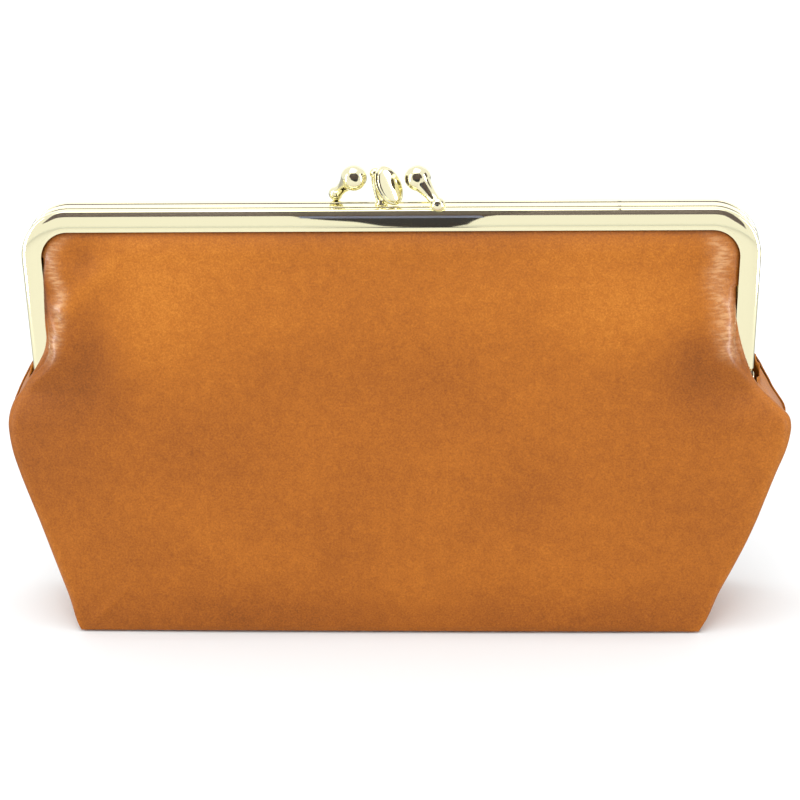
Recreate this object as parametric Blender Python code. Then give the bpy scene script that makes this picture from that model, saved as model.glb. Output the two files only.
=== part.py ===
"""Frame purse with two compartments.

Three channel frames, bent to an upside-down U, share one rivet at each side.
The front and back frames swing away from the middle one, and each carries the
upper part of its leather panel. The lower bag hangs from the middle frame.

Metres, +Z up. The front faces -Y, and the origin is under the middle of the base.
"""

import math

import bmesh
import bpy
from mathutils import Matrix, Vector

# Fit
CLEARANCE = 0.0003
CUT_OVERRUN = 0.002

# Frames
FRAME_TOP = 0.1116
FRAME_HALF_LENGTH = 0.0953
LEG_LEAN = 0.0016
CORNER_RADIUS = 0.0125
RAIL_FACE = 0.0054
RAIL_DEPTH = 0.0039
SHOULDER_RADIUS = 0.0012
METAL = 0.0006
CORNER_STEPS = 10
SHOULDER_STEPS = 4

# Hinge
HINGE_HEIGHT = 0.064
EYE_RADIUS = 0.003
EYE_INSET = 0.0001
LEG_END_RISE = 0.0045
PLATE_REACH = 0.0075
WEB_LAP = 0.0012
RIVET_RADIUS = 0.0009
RIVET_HEAD_RADIUS = 0.0022
RIVET_HEAD = 0.0006
ROUND_STEPS = 24

# Clasp
CLASP_MIDDLE = -0.00085
BALL_RADIUS = 0.0037
BALL_SPREAD = 0.00815
BALL_RISE = 0.007
BALL_SETBACK = 0.0003
FOOT_RADIUS = 0.0019
FOOT_SPREAD = 0.0135
NECK_RADIUS = 0.00115
SHANK_RADIUS = 0.0007
SHANK_HEAD_RADIUS = 0.0012
SHANK_HEAD = 0.0005
LEAF_LENGTH = 0.0096
LEAF_WIDTH = 0.0066
LEAF_THICKNESS = 0.0022
LEAF_RISE = 0.0053
LEAF_FOOT_SHARE = 0.11
ARM_RADIUS = 0.0008
ARM_TOP_RADIUS = 0.0015
LEAF_FACING = (0.5, -0.8, 0.33)
LEAF_LIE = (0.68, 0.136, -0.7)
NECK_START = math.radians(122)

# Leather body
LEATHER = 0.001
BASE_HALF_LENGTH = 0.0816
EAR_OVERHANG = 0.0072
EAR_DROP = 0.011
EAR_RISE = 0.0025
BELLY_DEPTH = 0.0203
BELLY_HEIGHT = 0.012
BELLY_BEND_HEIGHT = 0.04
BASE_EDGE_DEPTH = 0.0192
EAR_DEPTH = 0.0108
BASE_RADIUS = 0.0042
FOLD_TOP_RISE = 0.001
SIDE_TURN = 0.0016
SIDE_TURN_SHARE = 0.97
GUSSET_FOLD = 0.0052
GUSSET_DROP = 0.0015
GUSSET_DIP = 0.0045

# Cloth, card and paper inside
LINING = 0.0005
BOARD = 0.0005
BASE_BOARD = 0.0013
CORD_RADIUS = 0.0008
NOTCH_RISE = 0.0012
NOTCH_HEIGHT = 0.005
COVER_AIR = 0.0003
COVER_LIP = 0.0006
NOTCH_INSET = 0.0004
LINING_INSET = 0.0008

# How the outline of the side grows from the base to the ear: height, width
SIDE_SHARES = ((0.0, 0.0), (0.09, 0.14), (0.19, 0.245), (0.38, 0.45),
               (0.57, 0.65), (0.75, 0.84), (0.85, 0.935), (0.94, 0.985), (1.0, 1.0))
# A rivet head's dome: shares of the head's thickness and of its radius
DOME_SHARES = ((0.0, 0.5), (0.25, 0.85), (0.6, 1.0))
# The leaf's rim and domed face: shares of half its thickness and of its half width
LEAF_SHARES = ((-1.0, 0.0), (-1.0, 0.72), (-0.8, 0.9), (-0.3, 1.0), (0.3, 1.0),
               (0.8, 0.9), (1.0, 0.72), (1.15, 0.4), (1.2, 0.0))
# How far the leaf's arm starts and bends from its middle: shares of its length and of its rise
ARM_TIP_SHARE = 0.33
ARM_BEND_SHARES = (0.42, 0.07, 0.62)
# Where the rows of the flat base lie between its front and back edges
BASE_ROW_SHARES = (0.03, 0.5, 0.97)
# Where the ear's columns stand between the leg and the side of the body
EAR_COLUMN_SHARES = (0.4, 0.75, 1.0)
# Where the columns of a panel or lining stand between its middle and the inner edge of a leg
COLUMN_SHARES = (0.0, 0.25, 0.48, 0.68, 0.82, 0.91, 0.965, 1.0)
LINING_SHARES = (0.0, 0.4, 0.7, 0.9, 1.0)


def clear_scene():
    """Empty the scene."""
    for item in list(bpy.data.objects):
        bpy.data.objects.remove(item, do_unlink=True)


# Materials

def material(name, colour, roughness, metallic=0.0):
    """One Principled material."""
    made = bpy.data.materials.new(name)
    made.use_nodes = True
    shader = made.node_tree.nodes["Principled BSDF"]
    shader.inputs["Base Color"].default_value = (*colour, 1.0)
    shader.inputs["Roughness"].default_value = roughness
    shader.inputs["Metallic"].default_value = metallic
    made.diffuse_color = (*colour, 1.0)
    return made


def gold(name):
    """Polished pale gold plating."""
    return material(name, (0.83, 0.76, 0.55), 0.12, 1.0)


def leather(name):
    """Smooth tan leather."""
    return material(name, (0.52, 0.2, 0.055), 0.42)


def cloth(name):
    """Brown cotton lining."""
    return material(name, (0.28, 0.17, 0.1), 0.9)


def card(name):
    """Grey card."""
    return material(name, (0.45, 0.42, 0.37), 0.9)


def paper(name):
    """Twisted kraft paper."""
    return material(name, (0.6, 0.47, 0.31), 0.95)


# Mesh helpers

def add_object(name, data, finish):
    """Link a new object that has one material."""
    data.materials.append(finish)
    made = bpy.data.objects.new(name, data)
    bpy.context.scene.collection.objects.link(made)
    return made


def finish_mesh(mesh, name, finish, smooth_angle=math.radians(40)):
    """Turn a bmesh into an object with its faces pointing out."""
    bmesh.ops.recalc_face_normals(mesh, faces=mesh.faces)
    data = bpy.data.meshes.new(name)
    mesh.to_mesh(data)
    mesh.free()
    data.shade_smooth()
    data.set_sharp_from_angle(angle=smooth_angle)
    return add_object(name, data, finish)


def add_sheet(name, rows, thickness, finish):
    """A soft sheet: an open grid of points at mid thickness, made solid.

    Each row is a list of points, with None where the sheet is cut away.
    """
    mesh = bmesh.new()
    grid = [[mesh.verts.new(point) if point else None for point in row] for row in rows]
    for low, high in zip(grid, grid[1:]):
        for column in range(len(low) - 1):
            corners = (low[column], low[column + 1], high[column + 1], high[column])
            if all(corners):
                mesh.faces.new(corners)
    loose = [vert for vert in mesh.verts if not vert.link_faces]
    bmesh.ops.delete(mesh, geom=loose, context="VERTS")
    data = bpy.data.meshes.new(name)
    mesh.to_mesh(data)
    mesh.free()
    data.shade_smooth()
    data.set_sharp_from_angle(angle=math.radians(40))
    made = add_object(name, data, finish)
    wall = made.modifiers.new("thickness", "SOLIDIFY")
    wall.thickness = thickness
    wall.offset = 0.0
    return made


def sweep(name, profile, stations, finish):
    """Carry a closed profile of (inward, y) points along (point, outward) stations."""
    mesh = bmesh.new()
    rings = []
    for point, outward in stations:
        ring = []
        for inward, y in profile:
            place = Vector((point[0] - outward[0] * inward, y, point[1] - outward[1] * inward))
            ring.append(mesh.verts.new(place))
        rings.append(ring)
    count = len(profile)
    for first, second in zip(rings, rings[1:]):
        for index in range(count):
            after = (index + 1) % count
            mesh.faces.new((first[index], first[after], second[after], second[index]))
    mesh.faces.new(rings[0])
    mesh.faces.new(list(reversed(rings[-1])))
    return finish_mesh(mesh, name, finish, math.radians(30))


def add_prism(mesh, outline, shift):
    """Extrude a closed outline of 3-D points by a shift."""
    face = mesh.faces.new([mesh.verts.new(point) for point in outline])
    grown = bmesh.ops.extrude_face_region(mesh, geom=[face])
    moved = [item for item in grown["geom"] if isinstance(item, bmesh.types.BMVert)]
    bmesh.ops.translate(mesh, vec=shift, verts=moved)


def turned_mesh(profile, start, direction):
    """Spin a profile of (along, radius) points, whose ends lie on the axis."""
    mesh = bmesh.new()
    verts = [mesh.verts.new((radius, 0.0, along)) for along, radius in profile]
    edges = [mesh.edges.new(pair) for pair in zip(verts, verts[1:])]
    bmesh.ops.spin(
        mesh, geom=verts + edges, axis=(0.0, 0.0, 1.0), cent=(0.0, 0.0, 0.0),
        angle=math.tau, steps=ROUND_STEPS, use_merge=True)
    bmesh.ops.remove_doubles(mesh, verts=mesh.verts, dist=CLEARANCE / 100)
    turn = Vector((0.0, 0.0, 1.0)).rotation_difference(direction).to_matrix().to_4x4()
    bmesh.ops.transform(mesh, matrix=Matrix.Translation(start) @ turn, verts=mesh.verts)
    return mesh


def tube_mesh(points, radii):
    """A round rod through points, with its own radius at each of them."""
    mesh = bmesh.new()
    rings = []
    side = Vector((1.0, 0.0, 0.0))
    for index, (point, radius) in enumerate(zip(points, radii)):
        before = points[max(0, index - 1)]
        after = points[min(len(points) - 1, index + 1)]
        along = (after - before).normalized()
        side = (side - along * side.dot(along)).normalized()
        across = along.cross(side)
        ring = []
        for turn in range(ROUND_STEPS // 2):
            angle = math.tau * turn / (ROUND_STEPS // 2)
            offset = side * math.cos(angle) + across * math.sin(angle)
            ring.append(mesh.verts.new(point + offset * radius))
        rings.append(ring)
    for first, second in zip(rings, rings[1:]):
        for index in range(len(first)):
            after = (index + 1) % len(first)
            mesh.faces.new((first[index], first[after], second[after], second[index]))
    mesh.faces.new(list(reversed(rings[0])))
    mesh.faces.new(rings[-1])
    return mesh


def hide_tool(item):
    """A tool that only joins or cuts other pieces."""
    item.hide_render = True
    item.display_type = "WIRE"
    return item


def combine(target, tool, operation):
    """Join or cut a piece with a tool."""
    step = target.modifiers.new(operation.lower(), "BOOLEAN")
    step.operation = operation
    step.object = tool
    step.solver = "EXACT"


def mix(first, second, share):
    """The value that lies a share of the way from first to second."""
    return first + (second - first) * share


def ease(share):
    """A share that starts and ends gently."""
    share = min(1.0, max(0.0, share))
    return share * share * (3.0 - 2.0 * share)


def steps_between(first, second, count):
    """Evenly spaced values, both ends included."""
    return [mix(first, second, index / count) for index in range(count + 1)]


# Places that more than one piece uses

RAIL_PITCH = RAIL_DEPTH + CLEARANCE
CHANNEL_OPEN = FRAME_TOP - RAIL_FACE
LEG_END = HINGE_HEIGHT + LEG_END_RISE
FRAME_HALF_DEPTH = RAIL_PITCH + RAIL_DEPTH / 2
LEATHER_MID = RAIL_PITCH + RAIL_DEPTH / 2 - METAL - CLEARANCE - LEATHER / 2
LINING_MID = LEATHER_MID - LEATHER / 2 - CLEARANCE - LINING / 2
CORNER_HEIGHT = FRAME_TOP - CORNER_RADIUS
CORNER_HALF_LENGTH = FRAME_HALF_LENGTH - CORNER_RADIUS
LEAN_ANGLE = math.asin(LEG_LEAN / (CORNER_HEIGHT - HINGE_HEIGHT))
CORD_TOP = FRAME_TOP - METAL - 2 * CLEARANCE - SHANK_HEAD
TUCK_TOP = CORD_TOP - 2 * CORD_RADIUS - CLEARANCE
TUCK = TUCK_TOP - CHANNEL_OPEN
FOLD_TOP = HINGE_HEIGHT + FOLD_TOP_RISE
NOTCH_LOW = LEG_END + CLEARANCE + PLATE_REACH + NOTCH_RISE
NOTCH_TOP = NOTCH_LOW + NOTCH_HEIGHT
EAR_HALF_LENGTH = FRAME_HALF_LENGTH + EAR_OVERHANG
EAR_HEIGHT = HINGE_HEIGHT - EAR_DROP
EAR_TOP = HINGE_HEIGHT + EAR_RISE
BASE_FLAT_DEPTH = BASE_EDGE_DEPTH - SIDE_TURN - BASE_RADIUS


def leg_outside(height):
    """Half length over the outside of the legs."""
    if height >= CORNER_HEIGHT:
        rise = min(1.0, (height - CORNER_HEIGHT) / CORNER_RADIUS)
        return CORNER_HALF_LENGTH + CORNER_RADIUS * math.sqrt(1.0 - rise * rise)
    return FRAME_HALF_LENGTH - (CORNER_HEIGHT - height) * math.tan(LEAN_ANGLE)


def opening_half(height, inset=0.0):
    """Half length of the frame's opening, an inset further out than its inner edge."""
    radius = CORNER_RADIUS - RAIL_FACE + inset
    if height >= CORNER_HEIGHT:
        rise = min(1.0, (height - CORNER_HEIGHT) / radius)
        return CORNER_HALF_LENGTH + radius * math.sqrt(1.0 - rise * rise)
    return leg_outside(height) - RAIL_FACE + inset


def side_half(height):
    """Half length of the leather body at a height."""
    if height > EAR_HEIGHT:
        rise = min(1.0, (height - EAR_HEIGHT) / (EAR_TOP - EAR_HEIGHT))
        return mix(leg_outside(height), EAR_HALF_LENGTH, math.sqrt(1.0 - rise * rise))
    share = max(0.0, height / EAR_HEIGHT)
    for (low, start), (high, end) in zip(SIDE_SHARES, SIDE_SHARES[1:]):
        if share <= high:
            grown = mix(start, end, (share - low) / (high - low))
            return mix(BASE_HALF_LENGTH, EAR_HALF_LENGTH, grown)
    return EAR_HALF_LENGTH


def middle_depth(height):
    """Distance of the panel's middle from the purse's middle plane, at mid thickness."""
    top_depth = LEATHER_MID
    low_depth = BELLY_DEPTH - LEATHER / 2
    if height >= CHANNEL_OPEN:
        return top_depth
    if height <= BELLY_HEIGHT:
        return low_depth
    square = CHANNEL_OPEN - 2 * BELLY_BEND_HEIGHT + BELLY_HEIGHT
    linear = 2 * (BELLY_BEND_HEIGHT - CHANNEL_OPEN)
    root = math.sqrt(linear * linear - 4 * square * (CHANNEL_OPEN - height))
    along = 2 * (CHANNEL_OPEN - height) / (root - linear)
    return mix(low_depth, top_depth, (1.0 - along) ** 2)


def edge_depth(height):
    """Distance of the panel's side edge from the middle plane, at mid thickness."""
    cover = FRAME_HALF_DEPTH + CLEARANCE + COVER_AIR + LEATHER / 2
    ear = EAR_DEPTH - LEATHER / 2
    if height >= NOTCH_TOP:
        return LEATHER_MID
    if height >= NOTCH_LOW:
        return mix(cover, LEATHER_MID, ease((height - NOTCH_LOW) / (NOTCH_TOP - NOTCH_LOW)))
    if height >= FOLD_TOP:
        return cover
    if height >= EAR_HEIGHT:
        return mix(ear, cover, ease((height - EAR_HEIGHT) / (FOLD_TOP - EAR_HEIGHT)))
    return mix(BASE_EDGE_DEPTH - LEATHER / 2, ear, height / EAR_HEIGHT)


def panel_depth(height, share):
    """Depth of a panel at a share of the way from its middle to its side."""
    power = mix(3.0, 7.0, height / FRAME_TOP)
    fullness = 1.0 - min(1.0, abs(share)) ** power
    return mix(edge_depth(height), middle_depth(height), fullness)


def fold_low():
    """The height at which the lower panel clears the swing of the upper one."""
    reach = math.hypot(middle_depth(FOLD_TOP) + LEATHER / 2, FOLD_TOP_RISE) + CLEARANCE
    height = HINGE_HEIGHT
    inner = middle_depth(height) - LEATHER / 2
    while math.hypot(inner, HINGE_HEIGHT - height) < reach + CLEARANCE:
        height -= CLEARANCE
        inner = middle_depth(height) - LEATHER / 2
    return height


FOLD_LOW = fold_low()
SWING_REACH = math.hypot(edge_depth(FOLD_TOP) + LEATHER / 2, FOLD_TOP_RISE)
POCKET_TOP = HINGE_HEIGHT - SWING_REACH - 3 * CLEARANCE


# Frames

def channel_profile(middle):
    """The rail's section as (inward, y) points, open on its inner side."""
    half = RAIL_DEPTH / 2
    outer = SHOULDER_RADIUS
    inner = max(SHOULDER_RADIUS - METAL, METAL / 3)
    points = [(RAIL_FACE, middle - half)]
    for angle in steps_between(0.0, math.pi / 2, SHOULDER_STEPS):
        across = half - outer + outer * math.cos(angle)
        points.append((outer - outer * math.sin(angle), middle - across))
    for angle in steps_between(math.pi / 2, 0.0, SHOULDER_STEPS):
        across = half - outer + outer * math.cos(angle)
        points.append((outer - outer * math.sin(angle), middle + across))
    points.append((RAIL_FACE, middle + half))
    points.append((RAIL_FACE, middle + half - METAL))
    for angle in steps_between(0.0, math.pi / 2, SHOULDER_STEPS // 4):
        across = half - METAL - inner + inner * math.cos(angle)
        points.append((METAL + inner - inner * math.sin(angle), middle + across))
    for angle in steps_between(math.pi / 2, 0.0, SHOULDER_STEPS // 4):
        across = half - METAL - inner + inner * math.cos(angle)
        points.append((METAL + inner - inner * math.sin(angle), middle - across))
    points.append((RAIL_FACE, middle - half + METAL))
    return points


def frame_stations(low, inset=0.0):
    """Points on the frame's outer line, from the left leg over the top to the right leg."""
    right = []
    for angle in steps_between(math.pi / 2, -LEAN_ANGLE, CORNER_STEPS):
        outward = (math.cos(angle), math.sin(angle))
        radius = CORNER_RADIUS - inset
        point = (CORNER_HALF_LENGTH + radius * outward[0], CORNER_HEIGHT + radius * outward[1])
        right.append((point, outward))
    last_point, last_outward = right[-1]
    down = last_point[1] - low
    foot = (last_point[0] - down * math.tan(LEAN_ANGLE), low)
    right.append((foot, last_outward))
    left = [((-point[0], point[1]), (-outward[0], outward[1])) for point, outward in right]
    return list(reversed(left)) + right


def hinge_plane(order):
    """The outer face of a hinge eye, by its place in the stack from outside to inside."""
    return leg_outside(LEG_END) - EYE_INSET - order * (METAL + CLEARANCE)


def eye_outline(near, far):
    """Outline of a hinge plate as (y, z) points: an eye that joins a neck from near to far."""
    left_length = math.hypot(near, LEG_END_RISE)
    right_length = math.hypot(far, LEG_END_RISE)
    start = math.atan2(LEG_END_RISE, near) + math.acos(EYE_RADIUS / left_length)
    end = math.atan2(LEG_END_RISE, far) - math.acos(EYE_RADIUS / right_length) + math.tau
    outline = [(near, LEG_END + WEB_LAP), (near, LEG_END)]
    for angle in steps_between(start, end, ROUND_STEPS * 2 // 3):
        outline.append((EYE_RADIUS * math.cos(angle), HINGE_HEIGHT + EYE_RADIUS * math.sin(angle)))
    return outline + [(far, LEG_END), (far, LEG_END + WEB_LAP)]


def hinge_plates(name, middle, order, finish):
    """The hinge plates of a frame: an eye on each rivet and a stem inside each leg."""
    outer = hinge_plane(order)
    slot_half = RAIL_DEPTH / 2 - METAL - CLEARANCE / 2
    stem_outer = leg_outside(LEG_END) - METAL / 2
    stem_inner = outer - METAL
    lean = math.tan(LEAN_ANGLE) * PLATE_REACH
    mesh = bmesh.new()
    for sign in (-1.0, 1.0):
        outline = eye_outline(middle - slot_half, middle + slot_half)
        eye = [Vector((sign * outer, y, z)) for y, z in outline]
        add_prism(mesh, eye, Vector((-sign * METAL, 0.0, 0.0)))
    bmesh.ops.recalc_face_normals(mesh, faces=mesh.faces)
    eyes = hide_tool(finish_mesh(mesh, name + "_eyes", finish))
    mesh = bmesh.new()
    low = LEG_END + CLEARANCE
    near = middle - slot_half + CLEARANCE / 2
    for sign in (-1.0, 1.0):
        stem = [
            Vector((sign * stem_outer, near, low)),
            Vector((sign * stem_inner, near, low)),
            Vector((sign * (stem_inner + lean), near, low + PLATE_REACH)),
            Vector((sign * (stem_outer + lean), near, low + PLATE_REACH))]
        add_prism(mesh, stem, Vector((0.0, 2 * (middle - near), 0.0)))
    stems = hide_tool(finish_mesh(mesh, name + "_stems", finish))
    return eyes, stems


def frame_cuts(name, middle, shank_place, finish):
    """The rivet's bores and the hole for the clasp's shank."""
    reach = RIVET_HEAD_RADIUS + 2 * CUT_OVERRUN
    mesh = bmesh.new()
    for sign in (-1.0, 1.0):
        along = Matrix.Translation((sign * (hinge_plane(1) - METAL / 2), 0.0, HINGE_HEIGHT))
        along @= Matrix.Rotation(math.pi / 2, 4, "Y")
        bmesh.ops.create_cone(
            mesh, cap_ends=True, segments=ROUND_STEPS, radius1=RIVET_RADIUS + CLEARANCE,
            radius2=RIVET_RADIUS + CLEARANCE, depth=reach, matrix=along)
    bmesh.ops.create_cone(
        mesh, cap_ends=True, segments=ROUND_STEPS, radius1=SHANK_RADIUS + CLEARANCE,
        radius2=SHANK_RADIUS + CLEARANCE, depth=2 * METAL + CUT_OVERRUN,
        matrix=Matrix.Translation((shank_place, middle, FRAME_TOP)))
    return hide_tool(finish_mesh(mesh, name + "_cuts", finish))


def build_frame(name, middle, order, shank_place):
    """One channel frame with its hinge plates, bores and shank hole."""
    finish = gold(name)
    made = sweep(name, channel_profile(middle), frame_stations(LEG_END), finish)
    for tool in hinge_plates(name, middle, order, finish):
        combine(made, tool, "UNION")
    combine(made, frame_cuts(name, middle, shank_place, finish), "DIFFERENCE")
    return made


def build_rivet(name, sign):
    """A pin through the six eyes of one side, with a domed head at each end."""
    inner = hinge_plane(2) - METAL - CLEARANCE - RIVET_HEAD
    length = hinge_plane(0) + CLEARANCE + RIVET_HEAD - inner
    head = RIVET_HEAD_RADIUS
    dome = [(along * RIVET_HEAD, across * head) for along, across in DOME_SHARES]
    half = [(0.0, 0.0)] + dome + [(RIVET_HEAD, head), (RIVET_HEAD, RIVET_RADIUS)]
    profile = half + [(length - along, radius) for along, radius in reversed(half)]
    start = Vector((sign * inner, 0.0, HINGE_HEIGHT))
    mesh = turned_mesh(profile, start, Vector((sign, 0.0, 0.0)))
    return finish_mesh(mesh, name, gold(name))


# Clasp

def shank_parts(base):
    """Points and radii of a riveted shank that ends in the base of a clasp piece."""
    head_low = CORD_TOP + CLEARANCE
    head_top = head_low + SHANK_HEAD - CLEARANCE / 2
    column = [head_low, head_top, head_top + CLEARANCE / 10, FRAME_TOP + CLEARANCE]
    points = [Vector((base[0], base[1], height)) for height in column]
    return points, [SHANK_HEAD_RADIUS, SHANK_HEAD_RADIUS, SHANK_RADIUS, SHANK_RADIUS]


def build_ball_clasp(name, sign):
    """A ball on a tapered neck, whose foot ball is riveted to the rail."""
    foot = Vector((CLASP_MIDDLE + sign * FOOT_SPREAD, -sign * RAIL_PITCH,
                   FRAME_TOP + CLEARANCE + FOOT_RADIUS))
    ball = Vector((CLASP_MIDDLE + sign * BALL_SPREAD, -sign * BALL_SETBACK, FRAME_TOP + BALL_RISE))
    length = (ball - foot).length
    profile = []
    neck_angle = math.asin(NECK_RADIUS / FOOT_RADIUS)
    for angle in steps_between(math.pi, neck_angle, ROUND_STEPS // 4):
        profile.append((FOOT_RADIUS * math.cos(angle), FOOT_RADIUS * math.sin(angle)))
    for angle in steps_between(NECK_START, 0.0, ROUND_STEPS // 3):
        profile.append((length + BALL_RADIUS * math.cos(angle), BALL_RADIUS * math.sin(angle)))
    profile[0] = (-FOOT_RADIUS, 0.0)
    profile[-1] = (length + BALL_RADIUS, 0.0)
    finish = gold(name)
    made = finish_mesh(turned_mesh(profile, foot, ball - foot), name, finish)
    points, radii = shank_parts(foot)
    points += [points[-1] + Vector((0.0, 0.0, CLEARANCE / 10)), foot.copy()]
    radii += [SHANK_HEAD_RADIUS, SHANK_HEAD_RADIUS]
    shank = hide_tool(finish_mesh(tube_mesh(points, radii), name + "_shank", finish))
    combine(made, shank, "UNION")
    return made


def build_leaf(name):
    """The oval leaf between the balls, on a curved arm from the middle rail."""
    centre = Vector((CLASP_MIDDLE, 0.0, FRAME_TOP + LEAF_RISE))
    facing = Vector(LEAF_FACING).normalized()
    lie = Vector(LEAF_LIE)
    along = (lie - facing * lie.dot(facing)).normalized()
    across = facing.cross(along)
    half = LEAF_THICKNESS / 2
    profile = [(rise * half, radius) for rise, radius in LEAF_SHARES]
    mesh = turned_mesh(profile, Vector(), Vector((0.0, 0.0, 1.0)))
    columns = (along * (LEAF_LENGTH / 2), across * (LEAF_WIDTH / 2), facing)
    shape = Matrix(columns).transposed().to_4x4()
    bmesh.ops.transform(mesh, matrix=Matrix.Translation(centre) @ shape, verts=mesh.verts)
    finish = gold(name)
    made = finish_mesh(mesh, name, finish)
    foot = centre + Vector((-LEAF_FOOT_SHARE * LEAF_LENGTH, 0.0, FRAME_TOP - centre.z))
    points, radii = shank_parts(foot)
    tip = centre - along * (ARM_TIP_SHARE * LEAF_LENGTH)
    back_share, side_share, rise_share = ARM_BEND_SHARES
    bend = Vector((centre.x - back_share * LEAF_LENGTH, side_share * LEAF_LENGTH,
                   mix(foot.z, tip.z, rise_share)))
    points.append(points[-1] + Vector((0.0, 0.0, CLEARANCE / 10)))
    radii.append(SHANK_HEAD_RADIUS)
    start = foot + Vector((0.0, 0.0, 3 * CLEARANCE))
    for share in steps_between(0.0, 1.0, 8):
        first = start.lerp(bend, share)
        second = bend.lerp(tip, share)
        points.append(first.lerp(second, share))
        thin = mix(SHANK_HEAD_RADIUS, ARM_RADIUS, min(1.0, 3 * share))
        radii.append(mix(thin, ARM_TOP_RADIUS, ease(2 * share - 1.0)))
    arm = hide_tool(finish_mesh(tube_mesh(points, radii), name + "_arm", finish))
    combine(made, arm, "UNION")
    return made


# Leather

def panel_rows():
    """Heights of an upper panel's rows, from the fold to the cord in the channel."""
    heights = steps_between(FOLD_TOP, NOTCH_LOW, 3)
    heights += steps_between(NOTCH_LOW, NOTCH_TOP, 3)[1:]
    heights += steps_between(NOTCH_TOP, CORNER_HEIGHT, 4)[1:]
    radius = TUCK_TOP - CORNER_HEIGHT
    for angle in steps_between(0.0, math.pi / 2, 6)[1:]:
        heights.append(CORNER_HEIGHT + radius * math.sin(angle))
    return heights


def cover_half(height):
    """Half length of the leather that lies in front of the leg's lower end."""
    share = min(1.0, max(0.0, (NOTCH_LOW - height) / (NOTCH_LOW - FOLD_TOP)))
    start = opening_half(height) + COVER_LIP
    return mix(start, leg_outside(height) + CLEARANCE, share)


def mirrored(points):
    """A row of points from the left edge to the right edge, given its right half."""
    left = [point and Vector((-point.x, point.y, point.z)) for point in reversed(points[1:])]
    return left + points


def build_panel(name, side, finish):
    """The upper leather panel of one half. Its side is -1 in front and 1 behind."""
    rows = []
    for height in panel_rows():
        tucked = height > NOTCH_TOP - CLEARANCE
        outer = opening_half(height, TUCK) if tucked else cover_half(height)
        if tucked:
            inner = min(opening_half(height), outer - TUCK)
        else:
            inner = opening_half(height) - NOTCH_INSET
        row = []
        for share in COLUMN_SHARES:
            depth = panel_depth(height, share)
            row.append(Vector((share * inner, side * depth, height)))
        keep = tucked or height < NOTCH_LOW + CLEARANCE
        row.append(Vector((outer, side * edge_depth(height), height)) if keep else None)
        rows.append(mirrored(row))
    return add_sheet(name, rows, LEATHER, finish)


def build_upper_lining(name, side, finish):
    """The lining behind an upper panel, tucked into the same channel."""
    rows = []
    for height in panel_rows():
        tucked = height > NOTCH_TOP - CLEARANCE
        outer = opening_half(height, TUCK - CLEARANCE) if tucked else None
        inner = opening_half(height) - NOTCH_INSET - CLEARANCE
        if tucked:
            inner = min(inner, outer - TUCK)
        row = []
        for share in LINING_SHARES:
            depth = lining_depth(height, share)
            row.append(Vector((share * inner, side * depth, height)))
        row.append(Vector((outer, side * LINING_MID, height)) if tucked else None)
        rows.append(mirrored(row))
    return add_sheet(name, rows, LINING, finish)


def lining_depth(height, share):
    """Depth of a lining behind its panel."""
    slack = LINING_INSET * (1.0 - abs(share) ** 4) * min(1.0, (FRAME_TOP - height) / CORNER_RADIUS)
    return panel_depth(height, share) - (LEATHER + LINING) / 2 - CLEARANCE - max(0.0, slack)


def build_fold(name, side, thickness, finish, depth_of, half):
    """The band of a panel or lining that bends as its half swings."""
    rows = []
    for height in steps_between(FOLD_LOW + CLEARANCE, FOLD_TOP - CLEARANCE, 3):
        row = []
        for share in LINING_SHARES:
            row.append(Vector((share * half, side * depth_of(height, share), height)))
        rows.append(mirrored(row))
    return add_sheet(name, rows, thickness, finish)


def shell_columns(height, ears_only=False):
    """Places along X of the lower shell's columns, and their shares."""
    ear_inner = cover_half(FOLD_TOP) + 2 * CLEARANCE
    full = side_half(height)
    main = ear_inner if ears_only else full * ear_inner / side_half(FOLD_LOW)
    columns = [None if ears_only else (share * main, share * main / full) for share in COLUMN_SHARES[:-1]]
    columns.append((main, main / full))
    for share in EAR_COLUMN_SHARES:
        place = mix(main, full, share)
        columns.append((place, place / full))
    return columns


def turned_depth(height, share):
    """Depth of the lower shell, whose side edges turn inward."""
    turn = SIDE_TURN * max(0.0, (abs(share) - SIDE_TURN_SHARE) / (1.0 - SIDE_TURN_SHARE))
    return panel_depth(height, share) - turn


def shell_side_rows(side):
    """Rows of the lower shell from the ears down to the start of the base."""
    rows = []
    ear_row_top = mix(EAR_HEIGHT, EAR_TOP, 0.96)
    for height in steps_between(ear_row_top, FOLD_LOW, 4)[:-1]:
        row = [column and Vector((column[0], side * turned_depth(height, column[1]), height))
               for column in shell_columns(height, True)]
        rows.append(mirrored(row))
    for height in steps_between(FOLD_LOW, BASE_RADIUS, 7):
        row = [Vector((place, side * turned_depth(height, share), height))
               for place, share in shell_columns(height)]
        rows.append(mirrored(row))
    radius = BASE_RADIUS - LEATHER / 2
    for angle in steps_between(0.0, math.pi / 2, 4)[1:]:
        height = BASE_RADIUS - radius * math.sin(angle)
        row = []
        for place, share in shell_columns(height):
            depth = mix(BASE_FLAT_DEPTH, turned_depth(BASE_RADIUS, share), math.cos(angle))
            row.append(Vector((place, side * depth, height)))
        rows.append(mirrored(row))
    return rows


def build_outer_shell(finish):
    """The lower leather in one wrap: front, base and back."""
    front = shell_side_rows(-1.0)
    back = list(reversed(shell_side_rows(1.0)))
    base = []
    for share in BASE_ROW_SHARES:
        base.append([low.lerp(high, share) for low, high in zip(front[-1], back[0])])
    return add_sheet("outer_shell", front + base + back, LEATHER, finish)


def gusset_half_depth(height):
    """Half depth of a gusset between the edges of the wrap."""
    wall = SIDE_TURN + LEATHER / 2 + 2 * CLEARANCE
    if height >= BASE_RADIUS:
        return edge_depth(height) - wall
    radius = BASE_RADIUS - LEATHER - CLEARANCE
    drop = min(1.0, (BASE_RADIUS - height) / radius)
    return mix(BASE_FLAT_DEPTH, edge_depth(BASE_RADIUS) - wall, math.sqrt(1.0 - drop * drop))


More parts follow.
